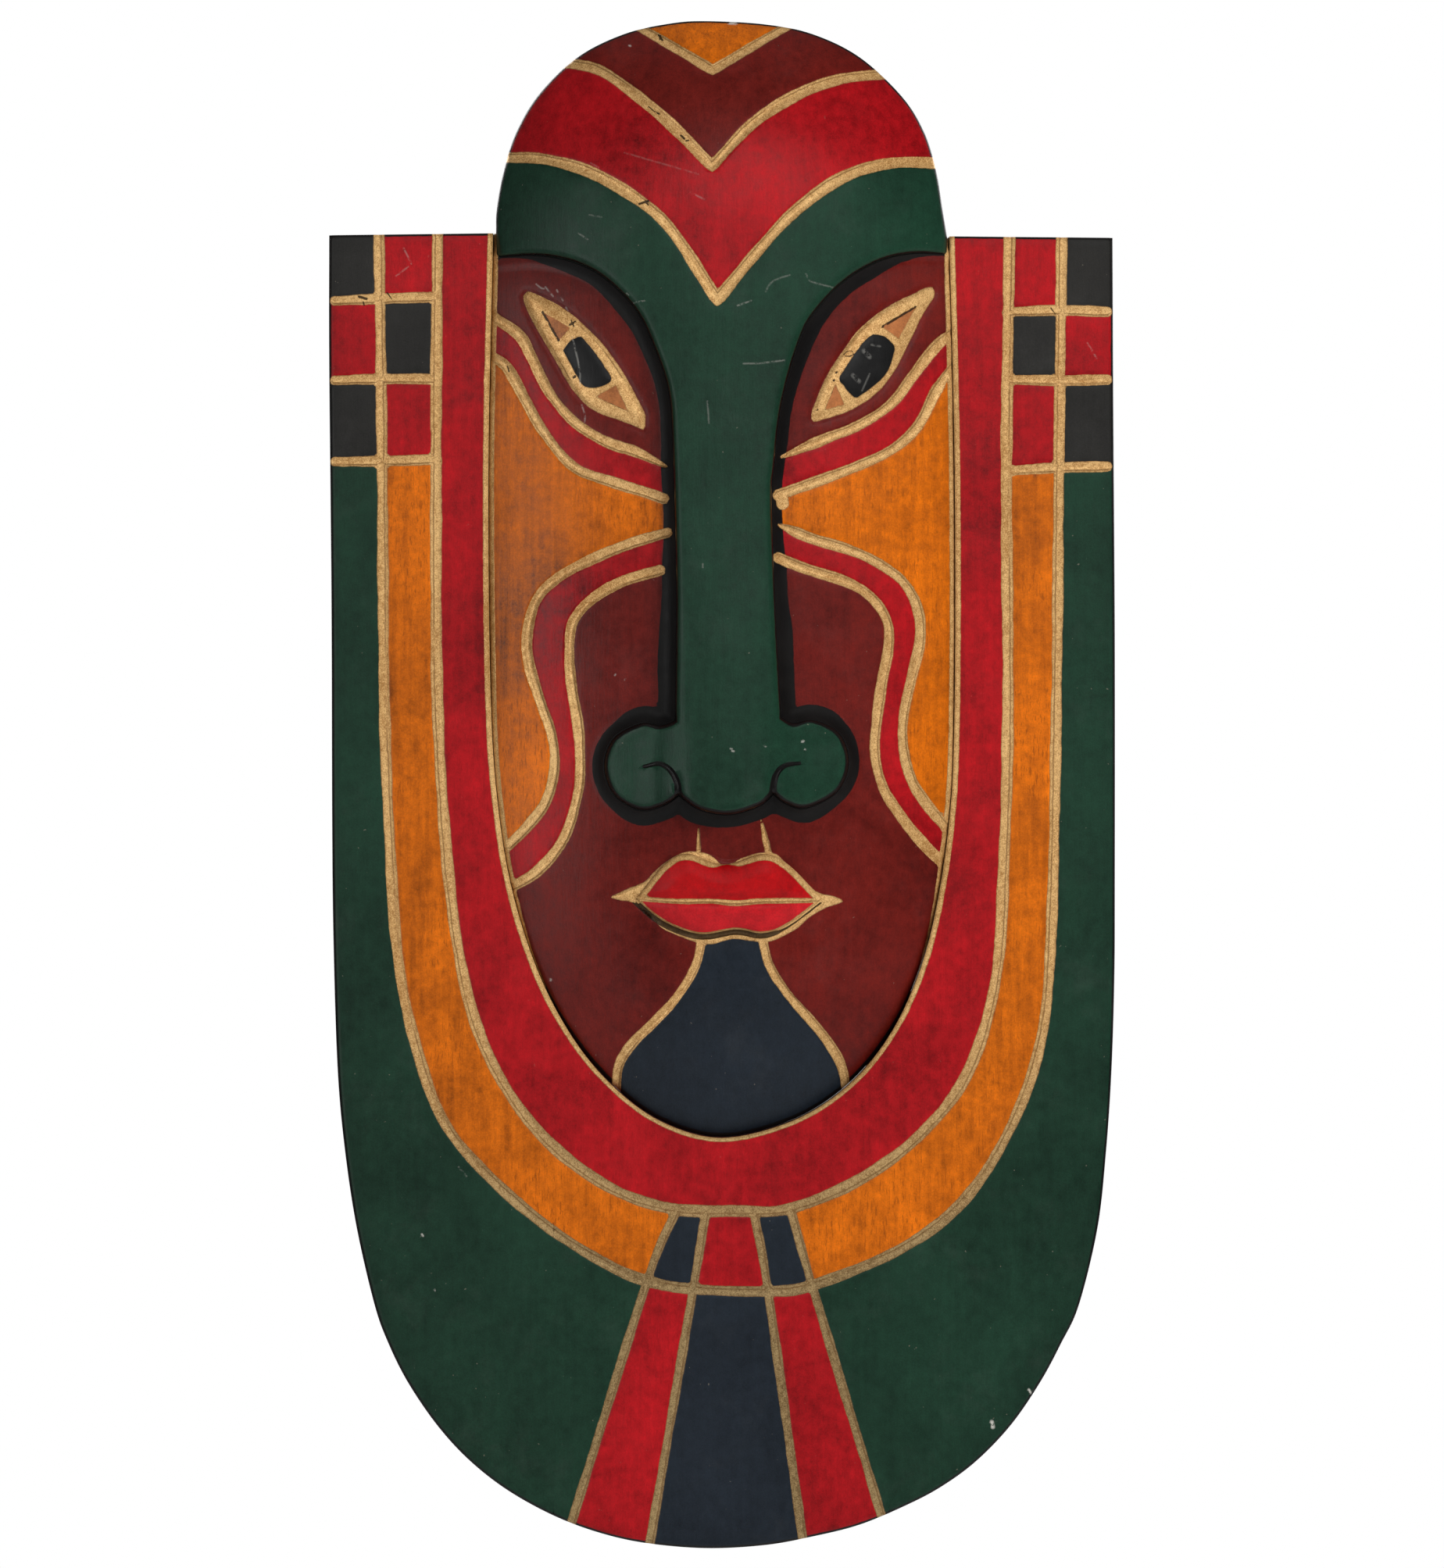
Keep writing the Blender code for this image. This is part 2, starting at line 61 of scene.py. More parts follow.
DOME_RIM, DOME_BULGE = 45.0, 41.0
HOLLOW_WALL = 15.0
BROW_ROUNDING = 4.5
FACE_HALF_WIDTH = 152.0
DOME_BASE_Z, DOME_TOP_Z = 50.0, 191.0
CHEEK_Z, CHIN_Z = -300.0, -541.0
SEAM_X = 110.0
FACE_GAP = 0.405
SCREW_PITCH = 1.6
SHARP_CARVING, SHARP_FITTINGS = 42, 35
LAMPS_AIM = (0, 0, -0.3)

# ---------------------------------------------------------------- outlines and painted lines

DOME = [(-147.5, 52), (-147, 68), (-142.6, 92), (-134.5, 117.8), (-119.3, 143.4),
        (-93.7, 167.9), (-63, 183), (-32.3, 189.7), (-9, 191), (29.2, 188.8),
        (59.9, 182.6), (90.6, 167.6), (118.5, 141.5), (133.1, 117.8), (140.8, 92.2),
        (145, 66.6), (148, 48.6)]
CUTOUT = [(-149.5, 52), (-152.6, -102), (-151, -256), (-145.5, -330), (-135.5, -385),
          (-118, -437), (-95, -479), (-68, -510), (-38, -531), (-2, CHIN_Z),
          (37, -533.5), (70, -517), (98, -491), (121, -454), (138, -404),
          (149.5, -333), (153, -256), (153, -102), (149.5, 50)]
COLLAR_EDGE = [(-257, 50.7), (-257, -30), (-255.5, -190), (-255, -343), (-254, -420),
               (-251.4, -496.6), (-246.8, -547.8), (-239.1, -599), (-227.3, -650.2),
               (-218.1, -675.8), (-205.3, -701.4), (-186.5, -729), (-165.5, -752),
               (-140, -772), (-109, -789), (-78.3, -800.3), (-47.6, -806.9),
               (-9, -810), (29.2, -807.9), (60, -802.3), (90.6, -794.6), (121.3, -781.8),
               (144.5, -769.5), (167.4, -752.6), (190, -729), (208.9, -701.4),
               (222.7, -675.8), (234.5, -650.2), (246.8, -599), (252.4, -547.8),
               (255.8, -496.6), (257.7, -435), (258, -370), (258, -215),
               (257, -60), (256.5, 49)]
BROW_LEFT = [(-147, 36), (-121, 37), (-96, 32), (-75, 20.5), (-55, -0.5), (-42.5, -26.6),
             (-34.3, -53), (-31.7, -85.5), (-29.3, -180), (-30, -268)]
WING_LEFT = [(-30, -268), (-40, -271), (-52, -269.5), (-70, -279), (-76.5, -297),
             (-70, -316), (-53, -326), (-38, -323), (-27.6, -316.4)]
NOSE_TIP = [(-27.6, -316.4), (-13.8, -325.6), (5.6, -328.7), (25, -323), (33.8, -315.4)]
WING_RIGHT = [(33.8, -315.4), (43, -322), (56, -324.5), (76, -314), (83.5, -295),
              (77, -276), (60, -267.5), (47, -269.5), (39, -266)]
BROW_RIGHT = [(39, -266), (35.3, -196), (32.8, -123), (34.3, -102), (39.4, -60), (52.2, -16),
              (65, 4), (82.4, 21), (104, 33.3), (125.4, 38.4), (147.7, 37.9)]
UPPER_LIP = [(-56, -384), (-36.4, -360.4), (-21, -354.6), (1.5, -361.5), (27, -354.6),
             (43, -361), (66, -384)]
LOWER_LIP = [(66, -384), (42.5, -401.4), (26.6, -406.5), (9.7, -404), (-14, -407),
             (-37.4, -398.8), (-56, -384)]

BAND_OUTER = [(-224.3, 53), (-222.2, -97.3), (-220.7, -256), (-216.6, -358.4), (-211.5, -425),
              (-201.2, -476.2), (-183.3, -527.4), (-155.1, -563.2), (-114.2, -599),
              (-73.2, -624.6), (-47.6, -634.9), (-18.4, -640), (30.7, -641.5), (59.9, -637.4),
              (116.2, -614.4), (157.2, -583.7), (187.9, -537.6), (208.4, -481.3),
              (216.1, -409.6), (219.6, -256), (221.2, -102.4), (223.2, 51)]
BAND_INNER = [(-185.9, 53), (-186.9, -97.3), (-185.9, -256), (-178.2, -373.8), (-165.4, -450.6),
              (-144.9, -501.8), (-114.2, -542.7), (-73.2, -573.4), (-32.3, -587.3),
              (8.7, -588.8), (44.5, -587.3), (90.6, -568.3), (131.6, -537.6), (162.3, -496.6),
              (180.2, -435.2), (185.3, -358.4), (187.9, -256), (186.9, -102.4), (188.9, 51)]
RUNGS_LEFT = [[(-253.5, 7.6), (-222, 9), (-185.9, 10.2)], [(-253.5, -44.5), (-222, -43.6), (-186.9, -43.5)],
              [(-253.5, -97.8), (-222, -97.4), (-185.9, -96.3)]]
RUNGS_RIGHT = [[(186.9, 0.5), (222, 1.4), (253, 0.4)], [(186.9, -44), (222, -44.6), (253, -44)],
               [(186.9, -103.9), (222, -101.6), (253, -100.9)]]
TIE = [[(-29.7, -588.8), (-48.6, -634.9), (-97.9, -792.5)], [(-10.2, -589.9), (-18.4, -640), (-46.7, -806.3)],
       [(21.5, -589.9), (30.7, -641.5), (53.4, -804)], [(45.6, -588.3), (59.9, -638.5), (105.1, -789)]]
PEAK_TOP = [(-58, 190), (-50.7, 185.3), (-5.6, 157.2), (-5.6, 157.2), (39.4, 185.3), (47, 190)]
PEAK_MIDDLE = [(-105, 164), (-98.3, 163.3), (-77.8, 157.2), (-50.7, 136.7), (-30.2, 118.3),
               (-6.1, 93.2), (-6.1, 93.2), (21, 121.9), (51.2, 141.8), (78.3, 152.1), (105.5, 156.2), (112, 157)]
PEAK_LOW = [(-146, 101.5), (-138.8, 101.4), (-115.2, 99.3), (-84.5, 89.6), (-50.7, 69.1),
            (-30.2, 48.6), (-2.6, 6.1), (-2.6, 6.1), (24.1, 38.4), (48.1, 64), (78.3, 86), (109.1, 96.3),
            (139.8, 97.8), (147, 97.8)]
CHEEKS = {
    "left_upper": ([(-150, -2), (-146.9, -4.6), (-132.1, -15.4), (-123.9, -30.2), (-112.6, -52.7),
                    (-96.3, -72.2), (-75.3, -85.5), (-55.8, -92.2), (-35.8, -101.9)],
                   [(-152, -28), (-150, -29.2), (-140.3, -36.4), (-129, -56.3), (-116.2, -78.8),
                    (-96.3, -101.9), (-71.7, -111.6), (-50.7, -118.3), (-37.4, -122.9)]),
    "right_upper": ([(152, -11), (149.5, -13.8), (138.8, -24.6), (125.4, -42), (111.1, -60.4),
                     (89.6, -74.8), (68.1, -83.5), (39.4, -95.7)],
                    [(153, -33), (150, -36.4), (139.8, -53.2), (128.5, -74.8), (111.1, -90.6),
                     (82.4, -103.9), (37, -120.5)]),
    "left_lower": ([(-139, -349), (-126.5, -336.4), (-114.7, -320.5), (-109.1, -299),
                    (-110.6, -278), (-118.3, -255), (-125.4, -231.9), (-127, -212.5),
                    (-121.3, -189.4), (-108, -175.1), (-87, -163.3), (-59.4, -152.1), (-34.8, -144.9)],
                   [(-138, -377), (-119.8, -365.6), (-102.9, -344.6), (-93.7, -315.4),
                    (-92.2, -293.9), (-93.7, -269.8), (-97.8, -245.2), (-99.3, -222.2),
                    (-96.8, -202.8), (-84, -187.9), (-64, -176.6), (-39.9, -169.5)]),
    "right_lower": ([(148, -338), (136.7, -325.1), (124.9, -307.2), (119.3, -286.2),
                     (119.3, -264.7), (124.4, -240.1), (130, -215.6), (129, -196.1),
                     (120.3, -178.2), (103.9, -165.4), (84, -156.2), (59.9, -149), (37.5, -139.8)],
                    [(147, -363), (129, -344.6), (115.2, -326.7), (105.5, -310.3), (100.4, -287.7),
                     (102.4, -261.6), (105.5, -240.1), (109.6, -217.6), (108, -201.2),
                     (97.3, -186.4), (80.9, -176.6), (54.8, -168.4), (37, -161.3)]),
}
EYE_LEFT = [(-129.6, 10.4), (-127.1, 13.2), (-123.6, 12.6), (-109.4, 5.8), (-99.2, -0.8), (-91.1, -7.8),
            (-83, -15.5), (-77, -22), (-70.9, -30.1), (-62.8, -42.3), (-56.7, -53.4), (-50.1, -66.1),
            (-49.3, -68.6), (-49.6, -75.7), (-50.8, -77.8), (-53.7, -76.7), (-60.7, -73.7),
            (-70.9, -70.1), (-81, -66.1), (-89.1, -60.5), (-96.2, -52.4), (-102.3, -43.3),
            (-108.3, -32.2), (-115.5, -20), (-121.5, -9.9), (-126.6, 0.3), (-129.1, 6.4)]
EYE_RIGHT = [(138.3, 16.5), (139.8, 13.4), (139.4, 9.9), (135.8, 4.3), (130.7, -3.8), (126.7, -12.9),
             (122.6, -21), (118.6, -29.1), (114.5, -37.2), (109.5, -44.3), (103.4, -51.9), (95.3, -58.5),
             (85.1, -64.6), (73, -69.2), (62.8, -72.2), (60.3, -72.5), (58.8, -70.7), (59.3, -65.6),
             (62.3, -57.5), (66.4, -47.4), (71.9, -37.2), (80.1, -25.1), (89.2, -12.9), (100.4, -2.8),
             (112.5, 5.3), (124.7, 11.4), (133.8, 16)]
PUPILS = [[(-103.3, -25.6), (-99.2, -20), (-95.2, -17.8), (-91.6, -17), (-87.1, -21.5), (-82, -28.1),
           (-77, -35.2), (-71.9, -44.3), (-74.9, -47.9), (-81, -49.9), (-85, -50.2), (-90.1, -48.4),
           (-94.2, -42.3), (-99.2, -33.2)],
          [(99.3, -15.1), (106.4, -16.4), (111, -20), (113.2, -23.6), (112.5, -28.1), (110, -36.2),
           (106.4, -42.3), (101.3, -47.4), (94.3, -52.9), (88.2, -56.5), (84.1, -53.9), (80.1, -48.9),
           (77.2, -44.3), (81.1, -37.2), (87.1, -28.1), (93.2, -20)]]
# each with a dark edge of painted shade between its first two corners
EYE_CORNERS = [[(-117, -0.2), (-106.3, -19), (-98.7, -10.9)], [(-81.5, -56), (-61.2, -65.6), (-68.9, -48.9)],
               [(105.4, -10.1), (127.2, 3.3), (116, -17.5)], [(74.5, -48.4), (67.9, -64.6), (80.1, -61)]]
PHILTRUM = [[(-14.8, -338.3), (-14.8, -353.3)], [(26.1, -332.8), (30.9, -354.1)]]
LIP_RIM_TOP = [(-72, -383.3), (-71.2, -382.2), (-59.6, -376.8), (-50.2, -372.9), (-42.5, -365.2),
               (-34, -358.4), (-25.4, -354.1), (-16.9, -352.9), (-8.4, -354.6), (1.9, -358.4),
               (12.1, -357.5), (24.1, -354.1), (34.3, -354.1), (41.1, -359.3), (51.4, -368.6),
               (61.6, -378.9), (71.8, -382), (78.7, -384.4), (79.6, -386)]
LIP_RIM_BOTTOM = [(-72, -383.3), (-66, -385.2), (-57.9, -386.6), (-47.6, -394.2), (-39.1, -402.8),
                  (-28.8, -407.9), (-16.9, -412.2), (-6.7, -413.8), (7, -410.4), (17.2, -411.3),
                  (30.9, -412.2), (48, -404.5), (58.2, -395.9), (68.5, -390), (76, -387.6), (79.6, -386)]
LIP_MIDDLE = [(-56, -383.6), (-30, -385.6), (-7.2, -385.5), (9.7, -386.8), (26.6, -385.5), (66, -385)]
CHIN_LINES = [[(-12.3, -409), (-16.9, -428), (-28.7, -448), (-44, -464.9), (-58.4, -479.2),
               (-67.1, -493.6), (-69.1, -512)],
              [(26.6, -409), (31.7, -428), (43.5, -446.5), (60.4, -465.9), (70.7, -479.2),
               (78.8, -493.6), (82.4, -511)]]
SCROLLS = [[(-28.5, -320), (-28.5, -309), (-32.9, -300.3), (-40.5, -295.9), (-50.4, -297.7)],
           [(34.9, -317.8), (33.8, -311.2), (36, -302.5), (41.5, -297), (51.3, -295.5)]]
NOT_PAINTED = -9.0

# pale marks: (points, half width, strength)
FACE_MARKS = [([(-121, 18), (-118, 15.5), (-116, 15)], 0.35, 0.3), ([(-115, 16), (-110, 10)], 0.35, 0.3),
              ([(-107.5, 14), (-106.5, 12)], 0.5, 0.3), ([(-104.5, 9), (-103.5, 7)], 0.4, 0.3),
              ([(-101.5, 2.5), (-100.5, 0.5)], 0.4, 0.3), ([(-97.3, -17), (-92.7, -37.3), (-92.2, -49)], 0.22, 0.32),
              ([(-91, -61.5), (-89.1, -68.6), (-89.6, -73.7)], 0.28, 0.28), ([(93, -26), (97, -30)], 1.2, 0.16),
              ([(86, -42), (90, -46)], 1.2, 0.15), ([(98, -22), (104, -23)], 0.6, 0.14),
              ([(-69.5, -238), (-69, -237.4)], 0.5, 0.4), ([(-112, -438), (-111.6, -437)], 0.6, 0.4),
              ([(-63, -241), (-62.6, -240.6)], 0.4, 0.35), ([(97, -41), (92, -52)], 0.3, 0.14)]
FACE_CHIPS = [([(-99, -9), (-95.4, -6.6)], 0.7), ([(-98, -5.9), (-96.4, -9.8)], 0.6), ([(-96.5, -43.4), (-95.5, -42.6)], 0.9),
              ([(75, -40.4), (75.5, -40)], 0.8), ([(73.3, -45.7), (73.8, -45.3)], 0.8), ([(-95.4, -40), (-94.4, -37)], 0.5),
              ([(80, -28.4), (82, -26.6), (85.5, -26.2), (86.5, -28.2), (84, -29.6), (81, -29.4)], 0.5),
              ([(-140, -35.5), (-139, -39)], 0.6), ([(62.5, -65), (63, -64.4)], 0.5)]
BROW_MARKS = [([(-93, 50), (-87, 46)], 0.3, 0.2), ([(-61.5, 10.5), (-60.5, 9.5)], 0.4, 0.3),
              ([(-57, 4.3), (-50, 5.6)], 0.3, 0.22), ([(-62, 2.5), (-59.5, 2.2)], 0.3, 0.16),
              ([(13.6, -35.4), (24, -35.2), (33, -34.2), (41, -33.2)], 0.25, 0.2),
              ([(10.6, 2.4), (14, 3.6), (19.4, 5.6)], 0.3, 0.26),
              ([(29, 11.6), (31, 15.5), (34, 18.4), (39, 20.6), (44.6, 22.3)], 0.25, 0.15),
              ([(55.2, 23.2), (57.5, 19), (61, 17.4), (72.7, 14.5)], 0.25, 0.16),
              ([(-63, 102.4), (-40, 95.5), (-15, 88)], 0.2, 0.09),
              ([(-20, 76), (-11, 71.5)], 0.25, 0.16), ([(7, -287.5), (8.2, -287.7)], 0.5, 0.5),
              ([(6, -286), (7, -286.2)], 0.4, 0.4), ([(28, -284), (29, -284.6)], 0.5, 0.45),
              ([(52.5, -281.5), (53.6, -280.9)], 0.7, 0.55), ([(54, -286.2), (55, -286.5)], 0.5, 0.45),
              ([(5, 190), (9.5, 189.7)], 1.2, 0.9), ([(-60.3, 174.6), (-59.4, 174.2)], 0.6, 0.5),
              ([(-86, 62), (-78, 60.5)], 0.22, 0.14), ([(-9, -60), (-8, -74)], 0.2, 0.16),
              ([(-85, 96), (-80, 93)], 0.3, 0.12), ([(-12, -166), (-12, -168)], 0.4, 0.22)]
BROW_CHIPS = [([(-41, 181.5), (-38.5, 178)], 0.8), ([(-39.5, 181), (-40.5, 178.5)], 0.6), ([(-53.4, 68.8), (-47.5, 70.6)], 0.8),
              ([(-49.5, 70.5), (-47.5, 68)], 0.6), ([(-47.5, 133), (-44, 130)], 0.5), ([(-43, 129.5), (-40.5, 128)], 0.7),
              ([(-26.2, 113.6), (-24, 111.4)], 0.8), ([(-23, 110), (-21.4, 110.4)], 0.6)]
COLLAR_CHIPS = [([(-237.5, 10.4), (-232.5, 9)], 0.9), ([(-234.6, 7), (-234, 4.8)], 0.5),
                ([(-219, 13), (-216, 9)], 0.5), ([(216, 3), (219, -1)], 0.5)]
COLLAR_MARKS = [([(177.2, -727), (178, -730.5)], 1.1, 0.9), ([(254.5, -545), (255, -549)], 1.0, 0.9),
                ([(201.5, -706), (202.6, -708)], 0.8, 0.8), ([(-196.2, -604), (-195.4, -605.2)], 0.6, 0.8),
                ([(-208, 42), (-203, 32)], 0.3, 0.2), ([(-213, 24), (-205, 30)], 0.25, 0.18),
                ([(-188, -640), (-187.6, -641)], 0.4, 0.5), ([(240, -20), (246, -30)], 0.3, 0.15),
                ([(-172, -560), (-167, -566)], 0.25, 0.2)]


def srgb(red, green, blue):
    """A colour as the shader takes it, from 0 to 255 display values."""
    shares = (value / 255 for value in (red, green, blue))
    return tuple(s / 12.92 if s <= 0.04045 else ((s + 0.055) / 1.055) ** 2.4 for s in shares)


# paints: colour, then how strong are the wood grain, the dark clouds and the pale dust
PAINTS = {
    "green": (srgb(20, 49, 35), 0.10, 0.60, 0.30),
    "red": (srgb(152, 10, 18), 0.30, 0.85, 0.08),
    "maroon": (srgb(94, 19, 13), 0.25, 0.75, 0.20),
    "orange": (srgb(190, 93, 2), 1.00, 0.85, 0.03),
    "navy": (srgb(25, 32, 40), 0.08, 0.50, 0.25),
    "charcoal": (srgb(34, 33, 31), 0.08, 0.40, 0.25),
    "tan": (srgb(166, 102, 58), 0.70, 0.80, 0.10),
    "ink": (srgb(20, 20, 20), 0.05, 0.20, 0.20),
    "upper_lip": (srgb(158, 3, 8), 0.10, 0.75, 0.03),
    "lower_lip": (srgb(178, 20, 28), 0.10, 0.65, 0.10),
}
PAINT_INDEX = {name: index for index, name in enumerate(PAINTS)}


# ---------------------------------------------------------------- curves

def smooth(points, step):
    """An open curve through the points (Catmull-Rom), sampled about every step millimetres.

    A point given twice in a row makes a sharp corner."""
    for i in range(1, len(points)):
        if tuple(points[i]) == tuple(points[i - 1]):
            return joined(smooth(points[:i], step), smooth(points[i:], step))
    knots = [np.array(p, float) for p in points]
    ends = [2 * knots[0] - knots[1]] + knots + [2 * knots[-1] - knots[-2]]
    found = []
    for a, b, c, d in zip(ends, ends[1:], ends[2:], ends[3:]):
        count = max(1, round(np.linalg.norm(c - b) / step))
        for t in np.arange(count) / count:
            tangents = (c - a) * t + (2 * a - 5 * b + 4 * c - d) * t**2 + (3 * b - a - 3 * c + d) * t**3
            found.append(b + tangents / 2)
    found.append(knots[-1])
    return np.array(found)


def joined(*curves):
    return np.concatenate([curves[0]] + [curve[1:] for curve in curves[1:]])


def chain(*curves):
    """One closed loop from open curves laid end to end."""
    loop = np.concatenate(curves)
    apart = np.linalg.norm(loop - np.roll(loop, 1, axis=0), axis=1)
    return loop[apart > 0.2]


def closed(loop):
    return np.concatenate([loop, loop[:1]])


def shifted(curve, distance):
    """The open curve moved sideways, to the left of its direction of travel."""
    along = np.gradient(curve, axis=0)
    across = np.stack([-along[:, 1], along[:, 0]], axis=1)
    return curve + distance * across / np.linalg.norm(across, axis=1, keepdims=True)


def trace(p, curve, reach=1e6):
    """For each point: its distance from the curve (positive on the left), and how far along that is.

    Points further away than reach may be given as far off."""
    gap, along = np.full(len(p), 1e6), np.zeros(len(p))
    starts, spans = curve[:-1], np.diff(curve, axis=0)
    lengths = np.linalg.norm(spans, axis=1)
    run = np.concatenate([[0], np.cumsum(lengths)])
    inside = (p > curve.min(axis=0) - reach) & (p < curve.max(axis=0) + reach)
    near = np.flatnonzero(inside.all(axis=1))
    for part in np.array_split(near, len(near) // 3000 + 1):
        offsets = p[part][:, None] - starts
        share = np.clip((offsets * spans).sum(2) / lengths**2, 0, 1)
        distance = np.linalg.norm(offsets - share[..., None] * spans, axis=2)
        best, rows = distance.argmin(axis=1), np.arange(len(part))
        turn = spans[best, 0] * offsets[rows, best, 1] - spans[best, 1] * offsets[rows, best, 0]
        gap[part] = distance[rows, best] * np.where(turn < 0, -1, 1)
        along[part] = run[best] + share[rows, best] * lengths[best]
    return gap, along, run[-1]


def distance_to(p, curve, reach=1e6):
    return np.abs(trace(p, curve, reach)[0])


def is_inside(p, loop):
    """Which points lie within the closed loop."""
    found = np.zeros(len(p), bool)
    ax, ay = loop[:, 0], loop[:, 1]
    bx, by = np.roll(ax, -1), np.roll(ay, -1)
    rise = np.where(by == ay, 1.0, by - ay)
    for part in np.array_split(np.arange(len(p)), len(p) // 5000 + 1):
        x, y = p[part, 0, None], p[part, 1, None]
        straddles = (ay > y) != (by > y)
        found[part] = (straddles & (x < ax + (y - ay) * (bx - ax) / rise)).sum(axis=1) % 2 == 1
    return found


def within(p, loop, reach=40):
    """Signed distance to the loop's edge, positive inside."""
    return distance_to(p, closed(loop), reach) * np.where(is_inside(p, loop), 1, -1)


def ramp(value, low, high):
    t = np.clip((value - low) / (high - low), 0, 1)
    return t * t * (3 - 2 * t)


def ripple(p, size, seed):
    """Smooth random waves between -1 and 1, about size millimetres across."""
    table = np.random.default_rng(seed).uniform(-1, 1, (64, 64))
    cell = np.floor(p / size).astype(int)
    t = p / size - cell
    t = t * t * (3 - 2 * t)
    i, j = cell[:, 0] % 64, cell[:, 1] % 64
    k, m = (i + 1) % 64, (j + 1) % 64
    left = table[i, j] * (1 - t[:, 1]) + table[i, m] * t[:, 1]
    right = table[k, j] * (1 - t[:, 1]) + table[k, m] * t[:, 1]
    return left * (1 - t[:, 0]) + right * t[:, 0]


def scoops(p, width, length, seed):
    """The facets that a gouge leaves: 0 in the middle of each cut, up to about 0.5 on the ridges."""
    table = np.random.default_rng(seed).uniform(0.15, 0.85, (64, 64, 2))
    scaled = p / (width, length)
    cell = np.floor(scaled).astype(int)
    best = np.full(len(p), 9.0)
    for i in (-1, 0, 1):
        for j in (-1, 0, 1):
            other = cell + (i, j)
            centre = other + table[other[:, 0] % 64, other[:, 1] % 64]
            best = np.minimum(best, ((scaled - centre) ** 2).sum(axis=1))
    return best


# ---------------------------------------------------------------- painted lines

def stroke(points, width, depth=1.3, ends=(0, 0), streak=0.6):
    """A gouged line painted gold: its curve, half width, depth, taper at each end, and the place
    across it, from -1 to 1, of a dark streak of painted shade."""
    return smooth(points, 3.0), width / 2, depth, ends, streak


def inlay(p, strokes):
    """Distance inside the nearest gold line's edge, signed distance from its dark streak of painted shade, and how
    deep it is cut."""
    gold, streak = np.full(len(p), NOT_PAINTED), np.full(len(p), 9.0)
    cut = np.zeros(len(p))
    for curve, half, depth, ends, streak_at in strokes:
        gap, along, total = trace(p, curve, 14)
        width = half * (1 + 0.07 * np.sin(along / 17 + half * 9) + 0.04 * np.sin(along / 5.3 + half))
        for taper, spot in zip(ends, (along, total - along)):
            if taper:
                width = width * (0.25 + 0.75 * np.clip(spot / taper, 0, 1) ** 0.7)
        nearer = width - np.abs(gap) > np.maximum(gold, -3)
        streak = np.where(nearer, gap - streak_at * width, streak)
        gold = np.maximum(gold, width - np.abs(gap))
        across = np.clip(1 - (gap / width) ** 2, 0, 1)
        cut = np.where(depth * across < 0, depth * across, np.maximum(cut, depth * across))
    return gold, streak, cut


def beside(curve, offsets):
    return [shifted(curve, offset) for offset in offsets]


def guides(strokes, marks=()):
    """Mesh points along each line and mark, so that their edges come out crisp."""
    found = []
    turns = np.arange(8) * pi / 4
    around = np.stack([np.cos(turns), np.sin(turns)], axis=1)
    for points, half, *_ in marks:
        line, reach = smooth(points, 1.2), max(half * 1.6, 0.9)
        found += beside(line, [0, reach, -reach] + ([half * 0.6, -half * 0.6] if half > 1 else []))
        found += [line[0] + around * reach, line[-1] + around * reach]
    for curve, half, *_ in strokes:
        curve = smooth(curve, 2.2) if len(curve) < 3 else curve
        found += beside(curve, [side * half * share for side in (-1, 1) for share in (0.4, 0.75, 1.0)])
        found += beside(curve, [0, half + 1.3, -half - 1.3])
    return np.concatenate(found)


def chipped(p, chips):
    """Distance inside the small dark chips."""
    found = np.full(len(p), NOT_PAINTED)
    for points, half in chips:
        found = np.maximum(found, half - distance_to(p, np.array(points, float), 5))
    return found


def marked(p, marks):
    pale = np.zeros(len(p))
    for points, half, strength in marks:
        gap = distance_to(p, smooth(points, 1.2), 6)
        pale = np.maximum(pale, strength * np.clip(1.4 * (1 - gap / (half * 1.6)), 0, 1))
    return pale


# ---------------------------------------------------------------- carved surfaces

def roundness(p):
    above = np.maximum(p[:, 1] - DOME_BASE_Z, 0) / (DOME_TOP_Z - DOME_BASE_Z)
    below = np.maximum(CHEEK_Z - p[:, 1], 0) / (CHEEK_Z - CHIN_Z)
    return np.sqrt((p[:, 0] / FACE_HALF_WIDTH) ** 2 + above**2 + below**2)


def face_front(p):
    rim = RIM_SIDE - (RIM_SIDE - RIM_CHIN) * ramp(-p[:, 1], -CHEEK_Z, -CHIN_Z)
    rim = rim - (RIM_SIDE - RIM_DOME) * ramp(p[:, 1], 10, DOME_BASE_Z + 40)
    mouth = ((p[:, 0] - 4) / 62) ** 2 + ((p[:, 1] + 381) / 34) ** 2
    return rim + FACE_BULGE * (1 - roundness(p) ** 2.4) - 4.5 * np.exp(-mouth)


def brow_front(p, edge):
    depth = DOME_RIM + DOME_BULGE * (1 - roundness(p) ** 2.6)
    down = ramp(-p[:, 1], 20, 320)
    depth = depth + 9 * down - 3.5 * down * np.minimum(np.abs(p[:, 0]) / 33, 1.3) ** 2
    depth = depth - 8 * ramp(-p[:, 1], 255, 285) * ramp(np.abs(p[:, 0] - 3), 22, 62)
    reach = np.clip(distance_to(p, edge) / BROW_ROUNDING, 0, 1)
    return depth - BROW_ROUNDING * (1 - np.sqrt(1 - (1 - reach) ** 2))


def lips_front(p):
    above, below = distance_to(p, smooth(UPPER_LIP, 2)), distance_to(p, smooth(LOWER_LIP, 2))
    roll = np.sqrt(np.clip(np.minimum(above, below) / 13.0, 0, 1))
    valley = np.exp(-(((p[:, 1] + 384) / 3.5) ** 2))
    taper = 1 - 0.55 * (np.abs(p[:, 0] - 5) / 61) ** 3
    return face_front(p) + 3.0 + (9.0 * roll - 3.0 * valley) * taper


# ---------------------------------------------------------------- meshes

